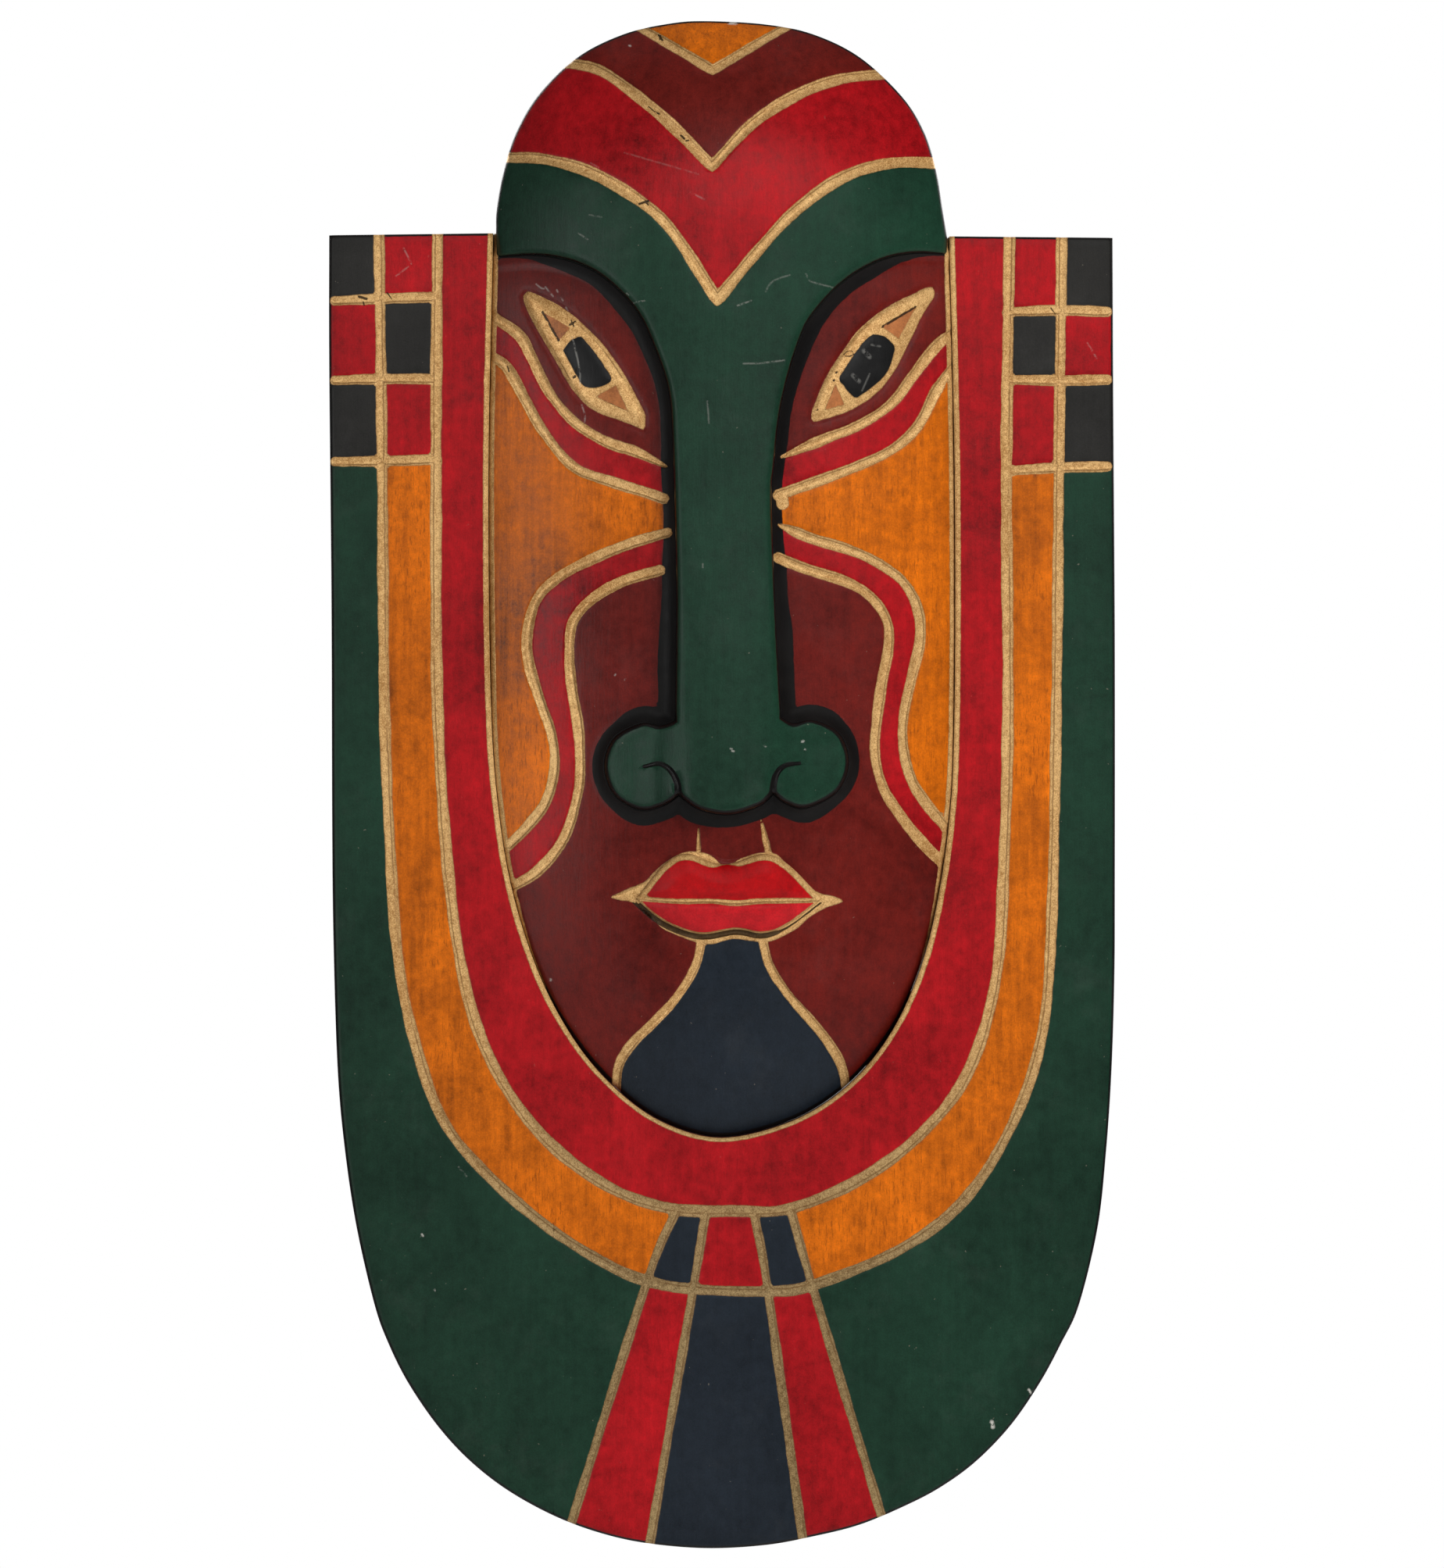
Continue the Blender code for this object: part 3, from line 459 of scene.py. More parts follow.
def fill(loop, step, guide=None, keep_off=None):
    """Points within the loop: those of the guide, and a grid where keep_off is under zero."""
    low, high = loop.min(axis=0), loop.max(axis=0)
    across = np.arange(low[0] + step * 0.37, high[0], step)
    up = np.arange(low[1] + step * 0.41, high[1], step * 0.87)
    grid = np.array([(x + (row % 2) * step / 2, z) for row, z in enumerate(up) for x in across])
    grid = grid[is_inside(grid, loop)]
    grid = grid[distance_to(grid, closed(loop)) > step * 0.5]
    if guide is None:
        return grid
    if keep_off is not None:
        grid = grid[keep_off(grid) < 0]
    _, first = np.unique(np.round(guide / 0.6).astype(int), axis=0, return_index=True)
    guide = guide[np.sort(first)]
    guide = guide[is_inside(guide, loop)]
    guide = guide[distance_to(guide, closed(loop)) > 0.45]
    return np.concatenate([grid, guide])


def sheet(loop, inner):
    """Triangles over the loop and the points in it, facing the viewer."""
    edges = [(i, (i + 1) % len(loop)) for i in range(len(loop))]
    points = [Vector(p) for p in np.concatenate([loop, inner])]
    flat, _, faces, *_ = delaunay_2d_cdt(points, edges, [], 1, 1e-4)
    flat, faces = np.array([tuple(p) for p in flat]), np.array(faces)
    a, b, c = flat[faces[:, 0]], flat[faces[:, 1]], flat[faces[:, 2]]
    turn = (b[:, 0] - a[:, 0]) * (c[:, 1] - a[:, 1]) - (b[:, 1] - a[:, 1]) * (c[:, 0] - a[:, 0])
    faces[turn < 0] = faces[turn < 0][:, ::-1]
    return flat, faces


def rim_of(faces):
    """The boundary's directed edges."""
    ends = np.concatenate([faces[:, [0, 1]], faces[:, [1, 2]], faces[:, [2, 0]]])
    there = {(a, b) for a, b in ends.tolist()}
    return [(a, b) for a, b in sorted(there) if (b, a) not in there]


def spots(flat):
    return {tuple(np.round(p, 3)): i for i, p in enumerate(flat.tolist())}


def solid(name, loop, front, rear, coat, inner, rear_inner, paints, wall=None):
    """A closed piece on the loop between the depths front(p) and rear(p), whose coat(p) gives the
    paint on its front. wall is the coat of the side's far edge."""
    near, near_faces = sheet(loop, inner)
    far, far_faces = sheet(loop, rear_inner)
    count = len(near)
    flat = np.concatenate([near, far])
    depth = np.concatenate([front(near), rear(far)])
    partner = spots(far)
    sides = []
    for a, b in rim_of(near_faces):
        c, d = (partner[tuple(np.round(near[i], 3))] + count for i in (a, b))
        sides.append((b, a, c, d))
    faces = near_faces.tolist() + sides + (far_faces[:, ::-1] + count).tolist()
    mesh = bpy.data.meshes.new(name)
    mesh.from_pydata(np.stack([flat[:, 0], -depth, flat[:, 1]], axis=1) * MM, [], faces)
    on_front = coat(near)
    on_rear = dict(gold=NOT_PAINTED, crack_and_shade=NOT_PAINTED, streak=9.0, black=6.0, pale=0.0) | (wall or {})
    kinds = list(PAINTS.values())
    chosen = np.concatenate([on_front["tint"], np.full(len(far), PAINT_INDEX["ink"])]).astype(int)
    tint = np.array([[*kind[0], 1.0] for kind in kinds])[chosen]
    # the coat's shade darkens the paint: painted shade along the face's rim, beside the brow and nose and at the
    # dome's rim, and a darkening along the collar's edges
    tint[:count, :3] *= on_front.get("shade", np.ones(count))[:, None]
    looks = np.array([[*kind[1:], 1.0] for kind in kinds])[chosen]
    for label, values in (("tint", tint), ("looks", looks)):
        mesh.attributes.new(label, "FLOAT_COLOR", "POINT").data.foreach_set("color", values.ravel())
    outline = np.minimum(distance_to(far, joined(outer_curve, top_right[::-1], dome_curve[::-1]), 30),
                         distance_to(far, top_left, 30))
    on_rear["black"] = np.maximum(on_rear["black"] + 2 - outline, NOT_PAINTED)
    for label in ("gold", "crack_and_shade", "streak", "black", "pale"):
        values = np.concatenate([on_front[label], np.full(len(far), 1.0) * on_rear[label]])
        mesh.attributes.new(label, "FLOAT", "POINT").data.foreach_set("value", values)
    for paint in paints:
        mesh.materials.append(paint)
    first_rear = len(near_faces) + len(sides)
    slots = np.zeros(len(faces), int)
    slots[first_rear:] = 1
    mesh.polygons.foreach_set("material_index", slots)
    mesh.shade_smooth()
    mesh.set_sharp_from_angle(angle=radians(SHARP_CARVING))
    mesh.validate()
    return placed(name, mesh)


def placed(name, mesh):
    obj = bpy.data.objects.new(name, mesh)
    bpy.context.scene.collection.objects.link(obj)
    return obj


# ---------------------------------------------------------------- materials

class Shader:
    """Builds one Principled material's node tree."""

    def __init__(self, name):
        self.material = bpy.data.materials.new(name)
        self.material.use_nodes = True
        self.tree = self.material.node_tree
        self.surface = self.tree.nodes["Principled BSDF"]
        self.where = self.node("ShaderNodeTexCoord").outputs["Object"]

    def node(self, kind, settings=(), inputs=()):
        made = self.tree.nodes.new(kind)
        for label, value in dict(settings).items():
            setattr(made, label, value)
        for label, value in dict(inputs).items():
            socket = made.inputs[label]
            if isinstance(value, bpy.types.NodeSocket):
                self.tree.links.new(value, socket)
            else:
                socket.default_value = value
        return made

    def math(self, operation, a, b=0.0, c=0.0):
        node = self.node("ShaderNodeMath", {"operation": operation}, {0: a, 1: b, 2: c})
        return node.outputs[0]

    def mix(self, share, a, b):
        a, b = ((*v, 1.0) if isinstance(v, tuple) and len(v) == 3 else v for v in (a, b))
        node = self.node("ShaderNodeMix", {"data_type": "RGBA"}, {0: share, 6: a, 7: b})
        return node.outputs[2]

    def step(self, value, low, high, out_low=0.0, out_high=1.0):
        """A smooth change of value from low to high."""
        node = self.node("ShaderNodeMapRange", {"interpolation_type": "SMOOTHSTEP"},
                         {0: value, 1: low, 2: high, 3: out_low, 4: out_high})
        return node.outputs[0]

    def stretched(self, scale, offset=(0, 0, 0)):
        return self.node("ShaderNodeMapping", (), {0: self.where, 1: offset, 3: scale}).outputs[0]

    def noise(self, scale, detail=3.0, rough=0.55, vector=None, distortion=0.0):
        inputs = {"Vector": vector or self.where, "Scale": scale, "Detail": detail,
                  "Roughness": rough, "Distortion": distortion}
        return self.node("ShaderNodeTexNoise", (), inputs).outputs[0]

    def attribute(self, name, output="Fac"):
        return self.node("ShaderNodeAttribute", {"attribute_name": name}).outputs[output]

    def darker(self, colour, share):
        """The colour times the share."""
        node = self.node("ShaderNodeVectorMath", {"operation": "SCALE"}, {0: colour, 3: share})
        return node.outputs[0]

    def bump(self, height, strength, distance, normal=None):
        inputs = {"Height": height, "Strength": strength, "Distance": distance}
        if normal:
            inputs["Normal"] = normal
        return self.node("ShaderNodeBump", (), inputs).outputs[0]

    def finish(self, colour, roughness, normal, metallic=0.0, **constants):
        for label, value in (("Base Color", colour), ("Roughness", roughness), ("Normal", normal),
                             ("Metallic", metallic)):
            socket = self.surface.inputs[label]
            if isinstance(value, bpy.types.NodeSocket):
                self.tree.links.new(value, socket)
            else:
                socket.default_value = value
        for label, value in constants.items():
            self.surface.inputs[label.replace("_", " ")].default_value = value
        return self.material


def brushed_paint(name, gloss, coat, black_gloss):
    """Hand-brushed oil paint over carved wood: grain shows through, gold lines, worn black edges.

    black_gloss is how much glossier the black is than the colours."""
    s = Shader(name)
    looks = s.node("ShaderNodeSeparateColor", (), {0: s.attribute("looks", "Color")}).outputs
    grain_by, cloud_by, dust_by = looks[0], looks[1], looks[2]
    streak = s.noise(1.0, 4, 0.6, s.stretched((230, 230, 14)))
    pore = s.noise(1.0, 3, 0.6, s.stretched((820, 820, 130)))
    cloud = s.noise(11, 4, 0.62, distortion=0.6)
    fine = s.noise(950, 2, 0.5)
    wobble = s.noise(150, 3, 0.6)
    colour = s.attribute("tint", "Color")
    grain = s.math("MULTIPLY_ADD", grain_by, 0.6, 0.35)
    lift = s.math("MULTIPLY_ADD", s.math("SUBTRACT", streak, 0.5), grain, 1.0)
    lift = s.math("MULTIPLY_ADD", s.math("SUBTRACT", cloud, 0.5), s.math("MULTIPLY", cloud_by, 1.9), lift)
    lift = s.math("MULTIPLY_ADD", s.math("SUBTRACT", wobble, 0.5), s.math("MULTIPLY", cloud_by, 1.2), lift)
    lift = s.math("MULTIPLY_ADD", s.math("SUBTRACT", fine, 0.5), 0.7, lift)
    colour = s.darker(colour, lift)
    in_pores = s.math("MULTIPLY", s.step(pore, 0.53, 0.66), s.step(cloud, 0.40, 0.6))
    in_pores = s.math("MULTIPLY", in_pores, s.math("MULTIPLY_ADD", grain_by, 0.62, 0.04))
    colour = s.mix(in_pores, colour, s.darker(colour, 0.42))
    smudge = s.math("MULTIPLY", s.step(s.noise(34, 4, 0.7, s.stretched((1, 1, 0.45))), 0.52, 0.72), cloud_by)
    colour = s.mix(s.math("MULTIPLY", smudge, 0.5), colour, s.darker(colour, 0.5))
    dust = s.math("MULTIPLY", s.step(s.noise(22, 5, 0.7), 0.5, 0.8), dust_by)
    colour = s.mix(s.math("MULTIPLY", dust, 0.10), colour, srgb(150, 150, 146))
    fleck = s.step(s.noise(420, 1, 0.4), 0.80, 0.83)
    colour = s.mix(s.math("MULTIPLY", fleck, dust_by), colour, srgb(150, 140, 125))

    # black paint along the cut edges
    black_edge = s.math("MULTIPLY_ADD", s.math("SUBTRACT", wobble, 0.5), 1.2, s.attribute("black"))
    black = s.step(black_edge, -0.25, 0.3)
    shade = s.mix(s.step(cloud, 0.35, 0.65), srgb(10, 9, 9), srgb(20, 18, 17))
    colour = s.mix(black, colour, shade)

    # gold lines, finely grained, darker along their edges, with painted shade in a streak along them and towards the
    # bottom
    rub = s.noise(260, 4, 0.7)
    grit = s.noise(1300, 3, 0.6)
    gold_edge = s.math("MULTIPLY_ADD", s.math("SUBTRACT", wobble, 0.5), 0.9, s.attribute("gold"))
    gold_edge = s.math("MULTIPLY_ADD", s.math("SUBTRACT", rub, 0.5), 0.5, gold_edge)
    gold = s.step(gold_edge, -0.15, 0.25)
    # painted shade: from 0.42 m to 0.66 m below the origin the gold is mixed towards a darker copy of itself, with
    # some random mottling
    height = s.node("ShaderNodeSeparateXYZ", (), {0: s.where}).outputs[2]
    low_shade_and_mottle = s.math("MULTIPLY_ADD", s.math("SUBTRACT", cloud, 0.5), 0.3, s.step(height, -0.42, -0.66))
    sheen = s.math("MULTIPLY_ADD", cloud, 0.45, s.math("MULTIPLY", rub, 0.6))
    sheen = s.math("MULTIPLY_ADD", s.math("SUBTRACT", grit, 0.5), 1.0, sheen)
    lit_gold = s.mix(s.step(sheen, 0.25, 0.8), srgb(158, 112, 60), srgb(230, 188, 126))
    shaded_gold = s.mix(s.step(sheen, 0.25, 0.8), srgb(98, 76, 46), srgb(170, 144, 100))
    leaf = s.mix(low_shade_and_mottle, lit_gold, shaded_gold)
    # painted shade: a dark streak along one side of each gold groove, broken up by the clouds
    off = s.math("ABSOLUTE", s.math("MULTIPLY_ADD", s.math("SUBTRACT", wobble, 0.5), 1.4, s.attribute("streak")))
    line = s.math("MULTIPLY", s.step(off, 0.75, 0.15), s.step(cloud, 0.34, 0.5))
    leaf = s.mix(s.math("MULTIPLY", line, 0.65), leaf, srgb(104, 70, 34))
    grime = s.math("MULTIPLY", s.step(fine, 0.60, 0.72), s.step(wobble, 0.5, 0.66))
    leaf = s.mix(s.math("MULTIPLY", grime, 0.5), leaf, srgb(84, 54, 26))
    lip = s.math("MULTIPLY", s.step(gold_edge, 0.9, 0.1), s.step(cloud, 0.3, 0.52))
    leaf = s.mix(s.math("MULTIPLY", lip, 0.6), leaf, srgb(98, 62, 30))
    colour = s.mix(gold, colour, leaf)
    # dark chips, with painted shade on the eye corners' edges and painted shadow under the lower lip
    crack_and_shade_edge = s.math("MULTIPLY_ADD", s.math("SUBTRACT", rub, 0.52), 1.0, s.attribute("crack_and_shade"))
    crack_and_shade = s.step(crack_and_shade_edge, -0.1, 0.3)
    colour = s.mix(s.math("MULTIPLY", crack_and_shade, 0.92), colour, srgb(34, 22, 11))

    # scratches and chips down to the pale ground
    pale = s.math("MULTIPLY", s.attribute("pale"), s.step(rub, 0.38, 0.52))
    colour = s.mix(pale, colour, srgb(200, 197, 188))

    roughness = s.math("MULTIPLY_ADD", s.math("SUBTRACT", wobble, 0.5), 0.22, gloss)
    roughness = s.math("MULTIPLY_ADD", s.math("SUBTRACT", cloud, 0.5), 0.2, roughness)
    roughness = s.math("MULTIPLY_ADD", black, -black_gloss, roughness)
    relief = s.math("MULTIPLY_ADD", streak, 0.6, s.math("MULTIPLY", pore, -0.5))
    relief = s.math("MULTIPLY_ADD", fine, s.math("MULTIPLY_ADD", gold, 0.5, 0.15), relief)
    normal = s.bump(relief, 0.35, 0.0006)
    normal = s.bump(s.math("SUBTRACT", 0.0, crack_and_shade), 0.4, 0.0005, normal)
    return s.finish(colour, roughness, normal, s.math("MULTIPLY", gold, 0.30),
                    Specular_IOR_Level=0.15, Coat_Weight=coat, Coat_Roughness=0.30)


def bare_wood(name, along, light, dark, seed):
    """Unpainted softwood: rings drawn out along the grain, pores, stains and handling marks."""
    s = Shader(name)
    long, short = 0.06, 1.0
    scale = (long, short, short) if along == "x" else (short, short, long)
    grown = s.stretched(scale, (seed, seed * 0.7, seed * 0.3))
    warp = s.noise(9, 3, 0.5, grown, 0.4)
    rings = s.node("ShaderNodeTexWave", {"wave_type": "RINGS", "rings_direction": "Z" if along != "x" else "X"},
                   {"Vector": grown, "Scale": 22.0, "Distortion": 6.0, "Detail": 3.0,
                    "Detail Scale": 1.2}).outputs[1]
    pore = s.noise(700, 3, 0.6, s.stretched((0.08, 1, 1) if along == "x" else (1, 1, 0.08)))
    stain = s.noise(7, 4, 0.65)
    colour = s.mix(s.step(rings, 0.3, 1.15), light, dark)
    colour = s.mix(s.math("MULTIPLY", s.step(warp, 0.45, 0.7), 0.45), colour, srgb(176, 134, 88))
    colour = s.mix(s.math("MULTIPLY", s.step(pore, 0.56, 0.72), 0.6), colour, s.darker(colour, 0.45))
    colour = s.mix(s.math("MULTIPLY", s.step(stain, 0.5, 0.78), 0.55), colour, srgb(74, 50, 30))
    spill = s.math("MULTIPLY_ADD", s.math("SUBTRACT", s.noise(60, 4, 0.7), 0.5), 9.0, s.attribute("black"))
    colour = s.mix(s.step(spill, 1.5, 4.0), colour, srgb(30, 29, 27))
    relief = s.math("MULTIPLY_ADD", rings, 0.4, s.math("MULTIPLY", pore, -0.6))
    normal = s.bump(relief, 0.5, 0.0006)
    rough = s.step(stain, 0.3, 0.7, 0.62, 0.82)
    return s.finish(colour, rough, normal, Specular_IOR_Level=0.3)


def worn_metal(name, clean, tarnish, spot, rough):
    """Plated steel with fine scratches, dulled patches and spots of rust."""
    s = Shader(name)
    patch = s.noise(160, 4, 0.65)
    scratch = s.noise(1.0, 3, 0.6, s.stretched((300, 2600, 5200)))
    colour = s.mix(s.step(patch, 0.36, 0.66), clean, tarnish)
    colour = s.mix(s.math("MULTIPLY", s.step(s.noise(520, 3, 0.7), 0.6, 0.72), 0.7), colour, spot)
    roughness = s.step(patch, 0.3, 0.7, rough, rough + 0.25)
    metallic = s.step(s.noise(520, 3, 0.7), 0.62, 0.74, 1.0, 0.35)
    normal = s.bump(scratch, 0.25, 0.00012)
    return s.finish(colour, roughness, normal, metallic)


def wool_felt(name):
    s = Shader(name)
    fibre = s.noise(1500, 5, 0.75, distortion=1.5)
    tuft = s.noise(260, 3, 0.6)
    colour = s.mix(fibre, srgb(28, 28, 29), srgb(86, 84, 80))
    colour = s.mix(s.math("MULTIPLY", s.step(tuft, 0.5, 0.7), 0.4), colour, srgb(52, 48, 44))
    normal = s.bump(fibre, 0.9, 0.0006)
    return s.finish(colour, s.step(tuft, 0.3, 0.7, 0.88, 0.98), normal, Sheen_Weight=0.4)


lower_paint = brushed_paint("face_paint", 0.38, 0.01, -0.16)
upper_paint = brushed_paint("forehead_paint", 0.40, 0.01, 0.08)
mouth_paint = brushed_paint("lip_paint", 0.50, 0.02, 0.0)
board_paint = brushed_paint("collar_paint", 0.46, 0.01, 0.0)
rear_wood = bare_wood("rear_pine", "z", srgb(172, 132, 88), srgb(138, 98, 60), 1.3)
batten_wood = bare_wood("batten_pine", "x", srgb(196, 156, 104), srgb(152, 110, 66), 4.1)
dowel_wood = bare_wood("dowel_beech", "x", srgb(204, 168, 124), srgb(170, 130, 88), 7.7)
zinc = worn_metal("zinc_screw", srgb(188, 184, 172), srgb(128, 124, 112), srgb(96, 62, 38), 0.32)
brass = worn_metal("brassed_steel", srgb(214, 176, 98), srgb(150, 116, 60), srgb(88, 60, 34), 0.30)
felt = wool_felt("felt")


# ---------------------------------------------------------------- the face

brow_curve = joined(smooth(BROW_LEFT, 3), smooth(WING_LEFT, 2.2), smooth(NOSE_TIP, 2.2),
                    smooth(WING_RIGHT, 2.2), smooth(BROW_RIGHT, 3))
cutout_curve = smooth(CUTOUT, 2.6)
dome_curve = smooth(DOME, 2.6)
upper_lip_curve, lower_lip_curve = smooth(UPPER_LIP, 2), smooth(LOWER_LIP, 2)
brow_loop = chain(dome_curve[::-1], brow_curve)
lips_loop = chain(upper_lip_curve[::-1], lower_lip_curve[::-1])
face_rim_curve = shifted(cutout_curve, FACE_GAP)
face_loop = chain(dome_curve[::-1], face_rim_curve)
eye_loops = [smooth(points + points[:1], 2)[:-1] for points in (EYE_LEFT, EYE_RIGHT)]
pupil_loops = [smooth(points + points[:1], 1.5)[:-1] for points in PUPILS]
lip_rim_loop = chain(smooth(LIP_RIM_TOP, 2), smooth(LIP_RIM_BOTTOM, 2)[::-1])
corner_loops = [np.concatenate([np.linspace(a, b, 8)[:-1] for a, b in zip(loop, loop[1:] + loop[:1])])
                for loop in EYE_CORNERS]

CHEEK_TAPERS = (((0, 22), (0, 0)), ((9, 24), (20, 0)), ((0, 0), (0, 0)), ((0, 13), (0, 0)))
FACE_STROKES = [stroke(line, 7.0, 1.3, taper, -0.6)
                for pair, tapers in zip(CHEEKS.values(), CHEEK_TAPERS) for line, taper in zip(pair, tapers)]
FACE_STROKES += [stroke([(40, -120.6), (40, -126.2)], 8.4, 0.5, (0, 0), 9.0)]
FACE_STROKES += [stroke(line, width, 0.8, (13, 0)) for line, width in zip(PHILTRUM, (3.0, 4.2))]
FACE_STROKES += [stroke(line, 6.2, 1.2, (0, 0), 0.62) for line in CHIN_LINES]


def band(pair):
    first, second = (smooth(line, 3) for line in pair)
    return np.concatenate([first, second[::-1]])


def cheek_fields():
    """The orange fields of the cheeks, between the upper and the lower band."""
    fields = []
    for side, edge in (("left", -175), ("right", 175)):
        upper, lower = smooth(CHEEKS[side + "_upper"][1], 3), smooth(CHEEKS[side + "_lower"][0], 3)
        fields.append(np.concatenate([upper, lower[::-1], [(edge, lower[0, 1]), (edge, upper[0, 1])]]))
    return fields


def face_coat(p):
    gold, streak, _ = inlay(p, FACE_STROKES)
    crack_and_shade = np.full(len(p), NOT_PAINTED)
    tint = np.full(len(p), PAINT_INDEX["maroon"])
    for field in cheek_fields():
        tint[is_inside(p, field)] = PAINT_INDEX["orange"]
    for pair in CHEEKS.values():
        tint[is_inside(p, band(pair))] = PAINT_INDEX["red"]
    chin = np.concatenate([smooth(CHIN_LINES[0], 3), [(-69, -560), (83, -560)], smooth(CHIN_LINES[1], 3)[::-1]])
    tint[is_inside(p, chin)] = PAINT_INDEX["navy"]
    for loop in eye_loops:
        inside = within(p, loop, 20)
        iris = np.full(len(p), 1e6)
        for shape in pupil_loops:
            gap = within(p, shape, 20)
            tint[(gap > -1.6) & (inside > 0)] = PAINT_INDEX["ink"]
            iris = np.minimum(iris, -gap)
        for shape, (first, second, _), half in zip(corner_loops, EYE_CORNERS, (0.9, 0.2, 0.9, 0.2)):
            gap = within(p, shape, 20)
            tint[(gap > -1.1) & (inside > 0)] = PAINT_INDEX["tan"]
            iris = np.minimum(iris, -gap)
            # painted shade: a dark edge between each corner's first two points, wider on the upper corners
            crack_and_shade = np.maximum(crack_and_shade, half - distance_to(p, np.array([first, second]), 10))
        gold = np.maximum(gold, np.minimum(inside, iris))
        # painted shade: a dark streak 2.4 mm inside the left eye's outline, in its upper part; none elsewhere inside
        # the eyes
        painted_shade_zone = (inside > 0) & (p[:, 0] < 0) & (p[:, 1] > -45)
        streak = np.where(painted_shade_zone, inside - 2.4, np.where(inside > 0, 9.0, streak))
    crack_and_shade = np.maximum(crack_and_shade, chipped(p, FACE_CHIPS))
    around = within(p, lip_rim_loop, 20) - 4.6 * np.exp(-((p[:, 0] - 3) / 6) ** 2) * (p[:, 1] > -368)
    gold = np.maximum(gold, around)
    streak = np.where(around > 0, 9.0, streak)
    # painted shadow: a dark band in the groove under the lower lip, thinning out towards the right corner
    groove = 2.2 - np.abs(distance_to(p, lower_lip_curve, 12) - 1.6)
    crack_and_shade = np.maximum(crack_and_shade, np.where(p[:, 1] < -386, groove - 1.5 * ramp(p[:, 0], 22, 48), NOT_PAINTED))
    rim = distance_to(p, face_rim_curve)
    band_width = 3.4 * ramp(p[:, 1], -470, -330) * ramp(-p[:, 1], -70, -30)
    gold = np.maximum(gold, np.where(band_width > 0.3, band_width - rim, NOT_PAINTED))
    strip = 6.6 + 3.4 * ramp(-p[:, 1], 130, 235) + 2.2 * np.exp(-((p[:, 1] + 5) / 32) ** 2)
    strip = 0.8 + (strip + 0.5 * (p[:, 0] < 0)) * ramp(-np.abs(p[:, 0]), -146, -95)
    nose_wings = ramp(-p[:, 1], 258, 270)
    strip = strip - 1.4 * nose_wings - 2.2 * nose_wings * ramp(np.abs(p[:, 0] - 3), 50, 80)
    strip = strip + 0.8 * ripple(p, 21, 5) - distance_to(p, brow_curve, 30)
    black = np.where(is_inside(p, brow_loop), 9.0, strip)
    # painted shadow: black along the rim at the chin, up to 2.5 mm wide, under the collar's edge
    black = np.maximum(black, 2.5 * ramp(-p[:, 1], 400, 500) - rim)
    black = np.maximum(black, 9.0 - distance_to(p, dome_curve, 20))
    # painted shade: the paint is darkened close to the face's rim, where it meets the collar, and beside the brow
    # and nose
    shade = 1 - 0.34 * np.exp(-rim / 7) - 0.16 * np.exp(-distance_to(p, brow_curve, 60) / 16)
    return dict(tint=tint, gold=np.maximum(gold, NOT_PAINTED), crack_and_shade=np.maximum(crack_and_shade, NOT_PAINTED),
                streak=streak, black=np.maximum(black, NOT_PAINTED), pale=marked(p, FACE_MARKS), shade=shade)


def face_relief(p):
    depth = face_front(p)
    _, _, cut = inlay(p, FACE_STROKES)
    away = distance_to(p, brow_curve, 30)
    fillet = 5.0 * np.clip(1 - away / 9.0, 0, 1) ** 2
    eye = np.zeros(len(p))
    for loop in eye_loops:
        inside = within(p, loop, 30)
        eye += 1.6 * (1 - np.exp(-np.clip(inside, 0, 30) / 5)) - 0.8 * np.exp(-(inside / 1.6) ** 2)
    for loop in pupil_loops:
        eye += 0.5 * np.clip(within(p, loop, 20) / 2.5, 0, 1)
    rim = distance_to(p, face_rim_curve, 20)
    around = within(p, lip_rim_loop, 12)
    under_lip = np.clip(1.9 - np.abs(distance_to(p, lower_lip_curve, 12) - 1.5), 0, 1)
    lip_rim = 1.6 * ramp(around, -0.4, 2.6) - 1.1 * under_lip
    edge = 1.8 * np.clip(1 - rim / 3.2, 0, 1) ** 2
    return (depth + fillet + eye - cut + np.where(around > -0.5, lip_rim, 0)
            + 0.35 * ripple(p, 26, 11) - edge)


def hollow_loop():
    angles = np.linspace(0, 2 * pi, 721)
    across = np.sign(np.cos(angles)) * np.abs(np.cos(angles)) ** 0.75 * 118
    up = np.sign(np.sin(angles)) * np.abs(np.sin(angles)) ** 0.75 * 190 - 238
    run = np.concatenate([[0], np.cumsum(np.hypot(np.diff(across), np.diff(up)))])
    even = np.linspace(0, run[-1], 201)[:-1]
    return np.stack([np.interp(even, run, across), np.interp(even, run, up)], axis=1)


def face_rear(p):
    """Flat where it meets the battens, and hollowed with a gouge behind the features."""
    inside = within(p, hollow_loop(), 60)
    deep = face_front(p) - HOLLOW_WALL - 2.2 * scoops(p, 17, 30, 3)
    tooled = BACK + 0.25 * ripple(p, 30, 8) + 0.25
    return tooled + (deep - tooled) * ramp(inside + 0.8 * ripple(p, 12, 4), -0.5, 5.0)


